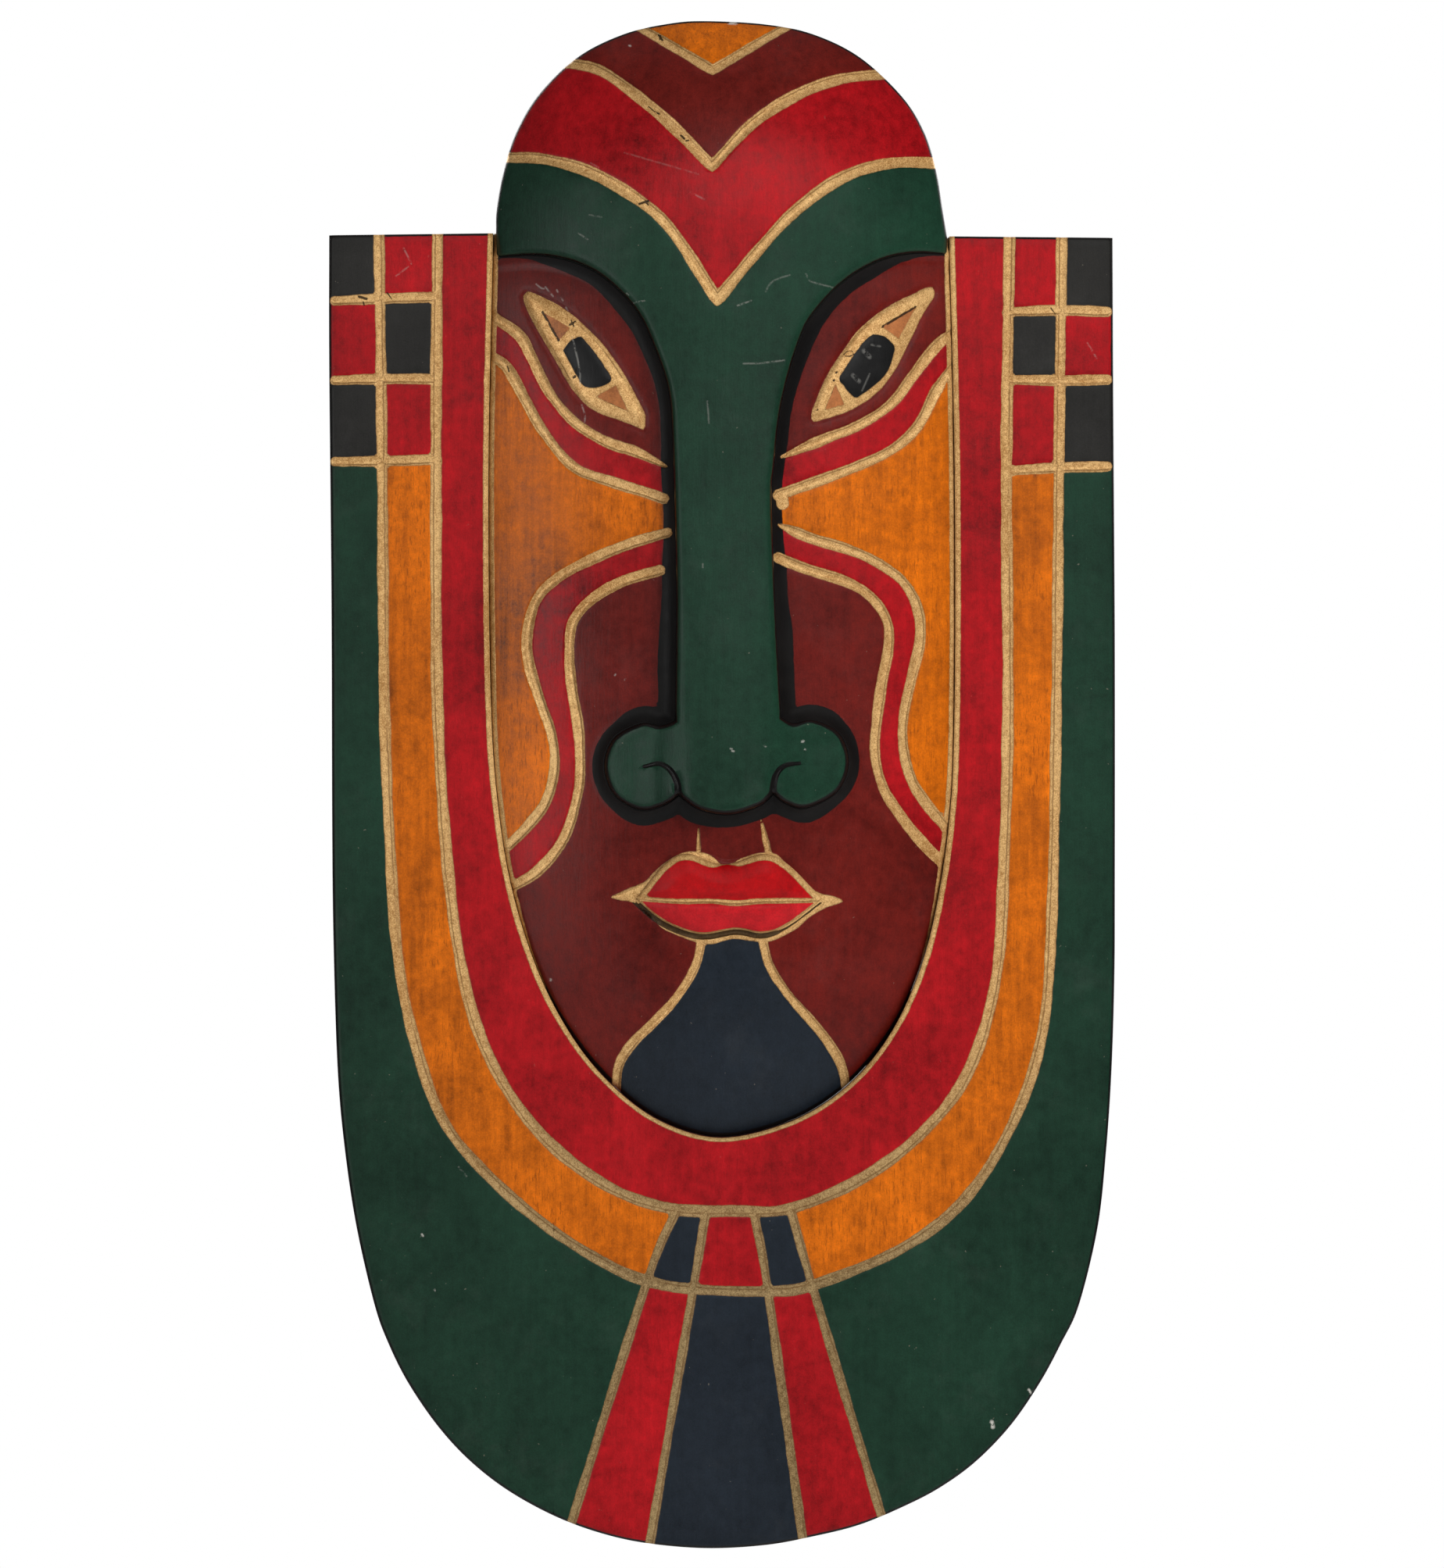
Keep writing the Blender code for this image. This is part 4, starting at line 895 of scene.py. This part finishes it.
def make_face():
    outlines = [closed(loop) for loop in eye_loops + pupil_loops + corner_loops + [lip_rim_loop]]
    along = np.concatenate([guides(FACE_STROKES, FACE_CHIPS + FACE_MARKS)] + beside(brow_curve, (-0.8, -2.5, -5, -8, -10.5, 1))
                           + beside(lower_lip_curve, (0.4, 1.5, 2.8, 3.6, -0.4, -1.5, -2.8, -3.6))
                           + beside(face_rim_curve, (1.1, 2.3, 3.6))
                           + [shifted(line, offset) for line in outlines for offset in (-1.2, -0.5, 0, 0.5, 1.2)]
                           + [shifted(closed(loop), offset) for loop in eye_loops for offset in (-2.6, 2.6)])

    def busy(p):
        gold, _, _ = inlay(p, FACE_STROKES)
        edges = np.minimum(distance_to(p, brow_curve, 20) - 11, distance_to(p, cutout_curve, 20) - 5)
        return np.maximum(gold + 2.4, -edges)
    rear_guide = np.concatenate(beside(closed(hollow_loop()), (-1.5, 0, 1.5, 3.0, 5.0)))
    inner = fill(face_loop, 4.0, along, busy)
    rear_inner = fill(face_loop, 6.0, rear_guide, lambda p: 7 - distance_to(p, closed(hollow_loop()), 30))
    hull = fill(hollow_loop(), 3.6)
    hull = hull[distance_to(hull, closed(hollow_loop())) > 7]
    rear_inner = np.concatenate([rear_inner[~is_inside(rear_inner, hollow_loop())
                                            | (distance_to(rear_inner, closed(hollow_loop())) < 6.5)], hull])
    return solid("face", face_loop, face_relief, face_rear, face_coat, inner, rear_inner,
                 (lower_paint, rear_wood))


# ---------------------------------------------------------------- forehead, brows and nose

BROW_STROKES = [stroke(PEAK_TOP, 6.6, 1.3, (0, 0), 0.6), stroke(PEAK_MIDDLE, 7.6, 1.5, (0, 0), 0.55),
                stroke(PEAK_LOW, 7.8, 1.5, (0, 0), 0.6)]
SCROLL_CURVES = [smooth(points, 1.5) for points in SCROLLS]


def scroll(p):
    """Distance inside the edge of the nose's two scrolled grooves, which thin out to a point."""
    found = np.full(len(p), NOT_PAINTED)
    for curve in SCROLL_CURVES:
        gap, along, total = trace(p, curve, 14)
        found = np.maximum(found, 2.4 * (1 - 0.5 * (along / total) ** 1.5) - np.abs(gap))
    return found


def height_of(points):
    """The line's height across the dome, out of reach beyond its ends."""
    knots = smooth(points, 3)
    return lambda x: np.interp(x, knots[:, 0], knots[:, 1], left=1e3, right=1e3)


def brow_coat(p):
    gold, streak, _ = inlay(p, BROW_STROKES)
    tint = np.full(len(p), PAINT_INDEX["green"])
    for points, paint in ((PEAK_LOW, "red"), (PEAK_MIDDLE, "maroon"), (PEAK_TOP, "orange")):
        tint[p[:, 1] > height_of(points)(p[:, 0])] = PAINT_INDEX[paint]
    black = 0.9 + 1.7 * ramp(-p[:, 1], 262, 275) - distance_to(p, brow_curve, 30)
    black = np.maximum(black, 1.2 - distance_to(p, dome_curve, 30))
    black = np.maximum(black, scroll(p))
    # painted shade: the paint darkens towards the dome's rim, where the forehead curves away
    shade = 1 - 0.2 * np.exp(-distance_to(p, dome_curve) / 8)
    return dict(tint=tint, gold=gold, crack_and_shade=chipped(p, BROW_CHIPS), streak=streak,
                black=np.maximum(black, NOT_PAINTED), pale=marked(p, BROW_MARKS), shade=shade)


def brow_relief(p):
    _, _, cut = inlay(p, BROW_STROKES)
    groove = 2.0 * np.sqrt(np.clip(scroll(p) / 2.4, 0, 1))
    outer = 1.4 * np.clip(1 - distance_to(p, dome_curve, 30) / 2.5, 0, 1) ** 2
    wings = ramp(-p[:, 1], 262, 280) * ramp(np.abs(p[:, 0] - 3), 28, 44)
    return (brow_front(p, brow_curve) - cut - groove - outer + 0.3 * ripple(p, 28, 21)
            + 1.2 * wings * np.clip(distance_to(p, brow_curve, 60) / 16, 0, 1))


def make_brow():
    beside_scrolls = (-2, -1.4, -0.9, -0.4, 0.4, 0.9, 1.4, 2)
    along = np.concatenate([guides(BROW_STROKES, BROW_CHIPS + BROW_MARKS)]
                           + beside(brow_curve, (0.8, 1.7, 2.8, 4.4, 7)) + beside(dome_curve, (-0.8, -1.6, -2.6))
                           + [line for curve in SCROLL_CURVES for line in beside(curve, beside_scrolls)])

    def busy(p):
        gold, _, _ = inlay(p, BROW_STROKES)
        near = np.minimum(distance_to(p, brow_curve, 20) - 8.5, distance_to(p, dome_curve, 20) - 4)
        return np.maximum(np.maximum(gold + 2.4, -near), scroll(p) + 2)
    inner = fill(brow_loop, 3.6, along, busy)
    return solid("forehead_and_nose", brow_loop, brow_relief, lambda p: face_front(p) - 0.6, brow_coat,
                 inner, fill(brow_loop, 9.0), (upper_paint, rear_wood))


# ---------------------------------------------------------------- lips

LIP_STROKES = [stroke(LIP_MIDDLE, 3.6, 0.5, (0, 0), -0.3)]


def lip_coat(p):
    gold, streak, _ = inlay(p, LIP_STROKES)
    worn = 1 - 0.95 * np.exp(-((p[:, 0] - 3) / 7) ** 2)
    gold = np.maximum(gold, 4.2 * worn - distance_to(p, upper_lip_curve))
    gold = np.maximum(gold, 1.3 - distance_to(p, lower_lip_curve))
    middle = smooth(LIP_MIDDLE, 3)
    upper = p[:, 1] > np.interp(p[:, 0], middle[:, 0], middle[:, 1])
    tint = np.where(upper, PAINT_INDEX["upper_lip"], PAINT_INDEX["lower_lip"])
    return dict(tint=tint, gold=gold, crack_and_shade=np.full(len(p), NOT_PAINTED), streak=streak,
                black=np.full(len(p), NOT_PAINTED), pale=np.zeros(len(p)))


def make_lips():
    offsets = (0.7, 1.6, 2.6, 3.8, -0.7, -1.6, -2.6, -3.8)
    along = np.concatenate([guides(LIP_STROKES)] + beside(upper_lip_curve, offsets)
                           + beside(lower_lip_curve, offsets))
    inner = fill(lips_loop, 2.4, along, lambda p: 4.5 - distance_to(p, closed(lips_loop)))
    return solid("mouth", lips_loop, lambda p: lips_front(p) - inlay(p, LIP_STROKES)[2] - 0.2,
                 lambda p: face_front(p) - 0.8, lip_coat, inner, fill(lips_loop, 5.0),
                 (mouth_paint, rear_wood), wall=dict(gold=1.0, black=NOT_PAINTED))


# ---------------------------------------------------------------- collar

COLLAR_STROKES = [stroke(BAND_OUTER, 7.2, 1.5, (0, 0), 0.35), stroke(BAND_INNER, 7.6, 1.5, (0, 0), -0.4)]
COLLAR_STROKES += [stroke(line, 6.8, 1.3, (0, 0), -0.6) for line in RUNGS_LEFT + RUNGS_RIGHT]
COLLAR_STROKES += [stroke(line, 6.0, 1.3, (0, 0), 0.5) for line in TIE]
outer_curve = smooth(COLLAR_EDGE, 2.6)
top_left = np.array([(-257.0, 50.7), (-149.5, 52.0)])
top_right = np.array([(149.5, 50.0), (256.5, 49.0)])


def collar_coat(p):
    gold, streak, _ = inlay(p, COLLAR_STROKES)
    x, z = p[:, 0], p[:, 1]
    bands = smooth(BAND_OUTER, 3), smooth(BAND_INNER, 3)
    lifted = [(curve[0] + (0, 20), curve, curve[-1] + (0, 20)) for curve in bands]
    in_outer, in_inner = (is_inside(p, np.vstack([[a], curve, [b]])) for a, curve, b in lifted)
    row = np.zeros(len(p), int)
    for rungs, side in ((RUNGS_LEFT, x < 0), (RUNGS_RIGHT, x > 0)):
        for rung in rungs:
            knots = np.array(rung)
            row += side & (z < np.interp(x, knots[:, 0], knots[:, 1]))
    column = np.zeros(len(p), int)
    for line in TIE:
        knots = np.array(line)
        column += x > np.interp(-z, -knots[:, 1], knots[:, 0])
    paint = PAINT_INDEX
    outer_row = np.array([paint[n] for n in ("charcoal", "red", "charcoal", "green")])
    inner_row = np.array([paint[n] for n in ("red", "charcoal", "red", "orange")])
    tint = np.where(in_outer, inner_row[row], outer_row[row])
    low = z < -575
    upper_tie = np.array([paint[n] for n in ("orange", "navy", "red", "navy", "orange")])
    lower_tie = np.array([paint[n] for n in ("green", "red", "navy", "red", "green")])
    tint = np.where(low, np.where(in_outer, upper_tie[column], lower_tie[column]), tint)
    tint = np.where(in_inner, paint["red"], tint)
    edge = distance_to(p, cutout_curve, 20)
    ridge = 3.6 - 0.9 * ramp(-z, 430, 520)
    gold = np.maximum(gold, ridge - edge)
    rim = np.minimum(distance_to(p, outer_curve, 20),
                     np.minimum(distance_to(p, top_left, 20), distance_to(p, top_right, 20)))
    black = np.maximum(1.5 - rim, NOT_PAINTED)
    # the paint is darkened by up to a fifth within about 8 mm of the outer and top edges
    shade = 1 - 0.2 * np.exp(-rim / 8)
    return dict(tint=tint, gold=gold, crack_and_shade=chipped(p, COLLAR_CHIPS), streak=streak, black=black,
                pale=marked(p, COLLAR_MARKS), shade=shade)


def collar_relief(p):
    outer = distance_to(p, outer_curve, 20)
    depth = COLLAR_FRONT - 2.0 * (1 - np.clip(outer / 3.0, 0, 1)) ** 2
    top = np.minimum(distance_to(p, top_left, 20), distance_to(p, top_right, 20))
    inner = distance_to(p, cutout_curve, 20)
    depth = depth - 1.0 * np.clip(1 - top / 2.0, 0, 1) ** 2 - 1.2 * np.clip(1 - inner / 2.4, 0, 1) ** 2
    return depth - inlay(p, COLLAR_STROKES)[2] - 0.25 + 0.25 * ripple(p, 34, 31)


def collar_rear(p):
    return BACK + 0.2 + 0.2 * ripple(p, 26, 41)


def split(curve, x, side):
    """The part of the curve on one side of the upright line at x, with its end on the line."""
    keep = (curve[:, 0] - x) * side > 0.5
    kept = curve[keep]
    at_start = not keep[0]
    first, last = (kept[0], curve[np.argmax(keep) - 1]) if at_start else (kept[-1], curve[keep.sum()])
    end = first + (x - first[0]) / (last[0] - first[0]) * (last - first)
    return np.concatenate([[end], kept] if at_start else [kept, [end]])


def seam(x, upper, lower):
    return np.stack([np.full(60, x), np.linspace(upper, lower, 60)], axis=1)


def make_collar():
    side_in, side_out = split(cutout_curve, -SEAM_X, -1), split(outer_curve, -SEAM_X, -1)
    foot_in = split(split(cutout_curve, -SEAM_X, 1), SEAM_X, -1)
    foot_out = split(split(outer_curve, -SEAM_X, 1), SEAM_X, -1)
    far_in, far_out = split(cutout_curve, SEAM_X, 1), split(outer_curve, SEAM_X, 1)
    left_top = np.linspace(outer_curve[0], cutout_curve[0], 42)
    right_top = np.linspace(cutout_curve[-1], outer_curve[-1], 42)
    left_seam = seam(-SEAM_X, side_in[-1, 1], side_out[-1, 1])
    right_seam = seam(SEAM_X, far_in[0, 1], far_out[0, 1])
    loops = {
        "left": chain(side_in, left_seam, side_out[::-1], left_top),
        "foot": chain(foot_in, right_seam, foot_out[::-1], left_seam[::-1]),
        "right": chain(far_in, right_top, far_out[::-1], right_seam[::-1]),
    }
    along = np.concatenate([guides(COLLAR_STROKES, COLLAR_CHIPS + COLLAR_MARKS)] + beside(outer_curve, (0.8, 1.6, 2.6, 3.8))
                           + beside(cutout_curve, (-0.8, -1.7, -2.7, -3.6, -4.4))
                           + beside(left_top, (-0.8, -1.8)) + beside(right_top, (-0.8, -1.8)))

    def busy(p):
        gold, _, _ = inlay(p, COLLAR_STROKES)
        near = np.minimum(distance_to(p, outer_curve, 20) - 5, distance_to(p, cutout_curve, 20) - 5.5)
        return np.maximum(gold + 2.4, -near)
    made = {}
    for name, loop in loops.items():
        made[name] = solid(f"collar_{name}", loop, collar_relief, collar_rear, collar_coat,
                           fill(loop, 4.6, along, busy), fill(loop, 9.0), (board_paint, rear_wood))
    return made


# ---------------------------------------------------------------- fittings on the back

def lathe(profile, sides=32):
    """A turned mesh about the Y axis: profile holds (position along Y, radius), in millimetres."""
    mesh = bmesh.new()
    rings = []
    for position, radius in profile:
        rings.append([mesh.verts.new((radius * cos(2 * pi * i / sides) * MM, position * MM,
                                      radius * sin(2 * pi * i / sides) * MM)) for i in range(sides)])
    for first, second in zip(rings, rings[1:]):
        for i in range(sides):
            j = (i + 1) % sides
            mesh.faces.new((first[i], first[j], second[j], second[i]))
    mesh.faces.new(rings[0])
    mesh.faces.new(rings[-1])
    bmesh.ops.recalc_face_normals(mesh, faces=mesh.faces)
    return mesh


def to_object(name, mesh, material, sharp=SHARP_FITTINGS):
    data = bpy.data.meshes.new(name)
    mesh.to_mesh(data)
    mesh.free()
    data.shade_smooth()
    data.set_sharp_from_angle(angle=radians(sharp))
    if material:
        data.materials.append(material)
    return placed(name, data)


def settled(obj):
    """The object with its modifiers made part of its mesh."""
    data = bpy.data.meshes.new_from_object(obj.evaluated_get(bpy.context.evaluated_depsgraph_get()))
    obj.modifiers.clear()
    obj.data = data
    data.shade_smooth()
    data.set_sharp_from_angle(angle=radians(SHARP_FITTINGS))


def cut(obj, cutters, crossing=False):
    """The object less the cutters. crossing says that a cutter's own parts run through each other."""
    for cutter in cutters:
        modifier = obj.modifiers.new("cut", "BOOLEAN")
        modifier.object = cutter
        modifier.use_self = crossing
    settled(obj)
    if not obj.data.polygons:
        raise RuntimeError(f"the cut left nothing of {obj.name}")
    for cutter in cutters:
        bpy.data.objects.remove(cutter)


def cross_cutter(top, reach, depth):
    """A tapered cross, as the recess in a screw head, its top above the head at Y = top."""
    mesh = bmesh.new()
    for turned in (False, True):
        corners = []
        for y, share in ((top + 0.4, 1.12), (top - depth, 0.55)):
            for a, b in ((-1, -1), (1, -1), (1, 1), (-1, 1)):
                u, v = a * reach * share, b * 0.55 * share
                u, v = (v, -u) if turned else (u, v)
                corners.append(mesh.verts.new((u * MM, y * MM, v * MM)))
        near, far = corners[:4], corners[4:]
        faces = [near, far[::-1]] + [(near[j], near[i], far[i], far[j]) for i, j in ((0, 1), (1, 2), (2, 3), (3, 0))]
        for face in faces:
            mesh.faces.new(face)
    bmesh.ops.recalc_face_normals(mesh, faces=mesh.faces)
    return to_object("cross_cutter", mesh, None)


def screw_mesh(name, head, shank, length, recess):
    """A cross-head screw along Y, its head at +Y, threaded down to a point."""
    profile = list(head)
    y = head[-1][0]
    turns = int((length + y - 4) / SCREW_PITCH)
    for i in range(turns):
        profile += [(y - 0.9 - i * SCREW_PITCH, shank * 0.74), (y - SCREW_PITCH - i * SCREW_PITCH, shank)]
    profile += [(-length + 1.5, shank * 0.6), (-length, 0.15)]
    obj = to_object(name, lathe(profile, 28), zinc, 30)
    cut(obj, [cross_cutter(head[1][0], recess, 1.3)], crossing=True)
    return obj


def dress_screws():
    """Puts a detailed screw where each CAD screw is."""
    sunk = screw_mesh("sunk_screw", [(0.0, 3.4), (-0.02, 4.0), (-0.35, 4.2), (-2.4, 2.0), (-3.4, 2.0)], 2.0, 34, 2.2)
    pan = screw_mesh("pan_screw", [(0.0, 1.3), (-0.03, 1.9), (-0.25, 2.6), (-0.75, 2.95), (-0.9, 3.0),
                                   (-0.92, 1.5)], 1.5, 16.9, 1.6)
    count = 0
    for node in sorted(frame["nodes"]):
        if "screw" not in node:
            continue
        low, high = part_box(node)
        source = sunk if "batten" in node else pan
        screw = placed(node.replace("screw", "cross_screw"), source.data)
        screw.location = ((low.x + high.x) / 2, high.y, (low.z + high.z) / 2)
        screw.rotation_euler = (0, radians(37 * count % 90), 0)
        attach(screw, "mask")
        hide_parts(node)
        count += 1
    for source in (sunk, pan):
        bpy.data.objects.remove(source)


def make_batten(name, node):
    """A planed bar with softened edges, its screw holes countersunk from behind."""
    low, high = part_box(node)
    mesh = bmesh.new()
    bmesh.ops.create_cube(mesh, size=1.0)
    bmesh.ops.scale(mesh, vec=high - low, verts=mesh.verts)
    bmesh.ops.translate(mesh, vec=(low + high) / 2, verts=mesh.verts)
    bmesh.ops.bevel(mesh, geom=mesh.edges[:], offset=2.0 * MM, segments=3, profile=0.6, affect="EDGES")
    long_edges = [e for e in mesh.edges if abs(e.verts[0].co.x - e.verts[1].co.x) > 0.1]
    bmesh.ops.subdivide_edges(mesh, edges=long_edges, cuts=90)
    obj = to_object(name, mesh, batten_wood, 30)
    cutters = []
    for screw in sorted(frame["nodes"]):
        if node.replace("batten_", "batten_screw_") in screw:
            a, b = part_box(screw)
            cone = to_object("cone", lathe([(2.0, 4.75), (0.0, 4.7), (-2.6, 2.3), (-24.0, 2.3)], 32), None)
            cone.location = ((a.x + b.x) / 2, b.y, (a.z + b.z) / 2)
            cutters.append(cone)
    bpy.context.view_layer.update()
    cut(obj, cutters)
    points = np.zeros(len(obj.data.vertices) * 3)
    obj.data.vertices.foreach_get("co", points)
    points = points.reshape(-1, 3)
    middle = (np.array(low) + np.array(high)) / 2
    seed = 51 if "upper" in node else 52
    wave = 0.25 * ripple(points[:, [0, 2]] / MM, 23, seed) - 0.25
    points[:, 1] += np.sign(points[:, 1] - middle[1]) * wave * MM
    wave = 0.3 * ripple(points[:, [0, 1]] / MM, 37, seed + 4) - 0.3
    points[:, 2] += np.sign(points[:, 2] - middle[2]) * wave * MM
    obj.data.vertices.foreach_set("co", points.ravel())
    obj.data.update()
    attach(obj, "mask")
    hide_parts(node)


def swept(name, path, frames, section, widths, material):
    """A solid that carries the section along the path. frames holds (across, out) at each point."""
    mesh = bmesh.new()
    rings = []
    for point, (across, out), width in zip(path, frames, widths):
        rings.append([mesh.verts.new(Vector(point) + Vector(across) * (u * width * MM) + Vector(out) * (v * MM))
                      for u, v in section])
    count = len(section)
    for first, second in zip(rings, rings[1:]):
        for i in range(count):
            j = (i + 1) % count
            mesh.faces.new((first[i], first[j], second[j], second[i]))
    mesh.faces.new(rings[0])
    mesh.faces.new(rings[-1])
    bmesh.ops.recalc_face_normals(mesh, faces=mesh.faces)
    return to_object(name, mesh, material, 40)


def rounded_section(width, thick, corner):
    """A flat bar's outline with rounded corners."""
    points = []
    for cx, cy, start in ((1, -1, -90), (1, 1, 0), (-1, 1, 90), (-1, -1, 180)):
        for step in range(4):
            angle = radians(start + 30 * step)
            points.append((cx * (width / 2 - corner) + corner * cos(angle),
                           cy * (thick / 2 - corner) + corner * sin(angle)))
    return points


def make_strap(letter, pin):
    """The strap: a leaf against the board, rolled round the ring's pin, with a rounded foot."""
    node = f"hanger_strap_{letter}"
    low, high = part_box(node)
    thick, length = 1.2, (pin.z - low.z) / MM
    radius = pin.y - low.y - thick / 2 * MM
    path, frames, widths = [], [], []
    for rise in [*np.linspace(0.02, 6.5, 14), *np.linspace(9, length, 10)]:
        path.append((pin.x, pin.y - radius, low.z + rise * MM))
        frames.append(((1, 0, 0), (0, -1, 0)))
        widths.append(np.sqrt(max(0.004, 1 - (1 - min(rise / 6.5, 1)) ** 2)))
    for step in range(1, 30):
        angle = step * radians(315 / 29)
        out = (0, -cos(angle), sin(angle))
        path.append((pin.x, pin.y + radius * out[1], pin.z + radius * out[2]))
        frames.append(((1, 0, 0), out))
        widths.append(1.0)
    strap = swept(f"strap_{letter}", path, frames, rounded_section(13, thick, 0.3), widths, brass)
    cutters = []
    for number in (1, 2):
        a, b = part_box(f"hanger_screw_{letter}_{number}")
        hole = to_object("hole", lathe([(3.0, 1.8), (-8.0, 1.8)], 28), None)
        hole.location = ((a.x + b.x) / 2, b.y, (a.z + b.z) / 2)
        cutters.append(hole)
    bpy.context.view_layer.update()
    cut(strap, cutters)
    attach(strap, "mask")
    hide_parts(node)


def make_ring(letter, pin):
    """A D-shaped wire ring with a butted joint in its straight side."""
    node = f"hanger_ring_{letter}"
    half, drop, wire = 11.0, 20.0, 1.4
    points = [(x, 0.0) for x in np.linspace(0.12, half - 1.2, 8)]
    points += [(half - 1.2 + 1.7 * sin(a), -1.7 + 1.7 * cos(a)) for a in np.linspace(0.3, 1.4, 5)]
    points += [(half * cos(a) * 1.04, -3.5 - (drop - 3.5) * sin(a)) for a in np.linspace(0, pi, 40)]
    points += [(-x, z) for x, z in points[7:13][::-1]]
    points += [(x, 0.0) for x in np.linspace(-half + 1.4, -0.12, 8)]
    centre = [np.array((pin.x + x * MM, pin.y, pin.z + z * MM)) for x, z in points]
    frames = []
    for before, after in zip([centre[0]] + centre[:-1], centre[1:] + [centre[-1]]):
        along = (after - before) / np.linalg.norm(after - before)
        frames.append((np.cross(along, (0, 1, 0)), (0, 1, 0)))
    section = [(wire * cos(a), wire * sin(a)) for a in np.linspace(0, 2 * pi, 21)[:-1]]
    ring = swept(f"ring_{letter}", centre, frames, section, [1.0] * len(centre), brass)
    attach(ring, f"ring_{letter}")
    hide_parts(node)


def make_pad(letter):
    """A felt disc, its face and edge roughened by the fibres."""
    node = f"wall_pad_{letter}"
    low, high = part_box(node)
    radius, thick = (high.x - low.x) / 2 / MM, (high.y - low.y) / MM
    profile = [(0.0, 0.05)] + [(0.0, r) for r in np.linspace(1.2, radius - 0.9, 10)]
    profile += [(-0.12, radius - 0.45), (-0.4, radius - 0.15), (-0.8, radius - 0.1), (-1.3, radius - 0.15),
                (-1.7, radius - 0.3), (-thick, radius - 0.5), (-thick, 0.05)]
    mesh = lathe(profile, 72)
    rng = np.random.default_rng(61)
    for vertex in mesh.verts:
        push = rng.uniform(-0.12, 0.0)
        if vertex.co.y < -0.05 * MM:
            vertex.co.x *= 1 + push * 0.02
            vertex.co.z *= 1 + push * 0.02
        else:
            vertex.co.y += push * MM
    pad = to_object(f"felt_disc_{letter}", mesh, felt, 60)
    pad.location = ((low.x + high.x) / 2, high.y, (low.z + high.z) / 2)
    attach(pad, "mask")
    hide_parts(node)


# ---------------------------------------------------------------- the scene

def light(name, place, size, power, diffuse=True, gloss=True):
    data = bpy.data.lights.new(name, "AREA")
    data.shape, data.size, data.size_y = "RECTANGLE", size[0], size[1]
    data.energy = power
    obj = bpy.data.objects.new(name, data)
    obj.location = place
    obj.rotation_euler = (Vector(LAMPS_AIM) - Vector(place)).to_track_quat("-Z", "Y").to_euler()
    obj.visible_diffuse, obj.visible_glossy = diffuse, gloss
    bpy.context.scene.collection.objects.link(obj)


def make_stage():
    middle = (0.0005, -0.044, -0.309)
    distance, field = 6.0, 1.0276
    camera = bpy.data.cameras.new("camera")
    camera.sensor_width = 36.0
    camera.lens = 36.0 * distance / field
    camera.clip_start, camera.clip_end = 0.1, 100
    viewer = bpy.data.objects.new("camera", camera)
    viewer.location = (middle[0], middle[1] - distance, middle[2])
    viewer.rotation_euler = (pi / 2, 0, 0)
    bpy.context.scene.collection.objects.link(viewer)
    bpy.context.scene.camera = viewer

    mesh = bmesh.new()
    bmesh.ops.create_circle(mesh, cap_ends=True, radius=2.6, segments=96)
    s = Shader("pale_floor")
    speck = s.noise(3.0, 3, 0.5)
    s.finish(s.mix(speck, (0.88, 0.88, 0.88), (0.92, 0.92, 0.92)), 0.8, s.bump(speck, 0.02, 0.002))
    floor = to_object("floor", mesh, s.material)
    floor.location = (0, 0, -1.45)

    light("key", (-2.5, -2.1, -0.1), (0.8, 1.6), 5)
    light("fill", (1.7, -2.4, 0.45), (1.6, 1.6), 84, gloss=False)
    light("sheen", (-1.8, -2.4, -0.4), (0.5, 2.0), 21, diffuse=False)
    light("upper_sheen", (0.4, -3.2, 0.9), (1.6, 1.0), 24, diffuse=False)
    light("rear_left", (-2.0, 2.2, 1.2), (1.6, 1.6), 52)
    light("rear_right", (2.2, 2.0, 0.6), (1.6, 1.6), 38)
    light("top", (0, -0.3, 2.4), (2.0, 1.4), 5)

    world = bpy.data.worlds.new("studio")
    world.use_nodes = True
    bpy.context.scene.world = world
    nodes, links = world.node_tree.nodes, world.node_tree.links
    shown, path = nodes["Background"], nodes.new("ShaderNodeLightPath")
    shown.inputs["Color"].default_value = (1, 1, 1, 1)
    strength = nodes.new("ShaderNodeMapRange")
    strength.inputs[3].default_value, strength.inputs[4].default_value = 0.17, 1.0
    links.new(path.outputs["Is Camera Ray"], strength.inputs[0])
    links.new(strength.outputs[0], shown.inputs["Strength"])
    bpy.context.scene.view_settings.view_transform = "Standard"


def main():
    face = make_face()
    brow = make_brow()
    lips = make_lips()
    for piece, node, slot in ((face, "face_shell", "face_paint"), (brow, "brow_and_nose", "green_paint"),
                              (lips, "lips", "lip_paint")):
        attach(piece, "mask")
        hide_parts(node)
    for name, board in make_collar().items():
        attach(board, "mask")
        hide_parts(f"collar_board_{name}")
    dress_screws()
    make_batten("upper_bar", "batten_upper")
    make_batten("lower_bar", "batten_lower")
    pins = {j["child"]: Vector(j["pos_m"]) for j in frame["joints"]}
    for letter in ("left", "right"):
        make_strap(letter, pins[f"ring_{letter}"])
        make_ring(letter, pins[f"ring_{letter}"])
        make_pad(letter)
    for node, obj in frame["nodes"].items():
        if node.startswith("dowel"):
            obj.material_slots[0].material = dowel_wood
    make_stage()


main()
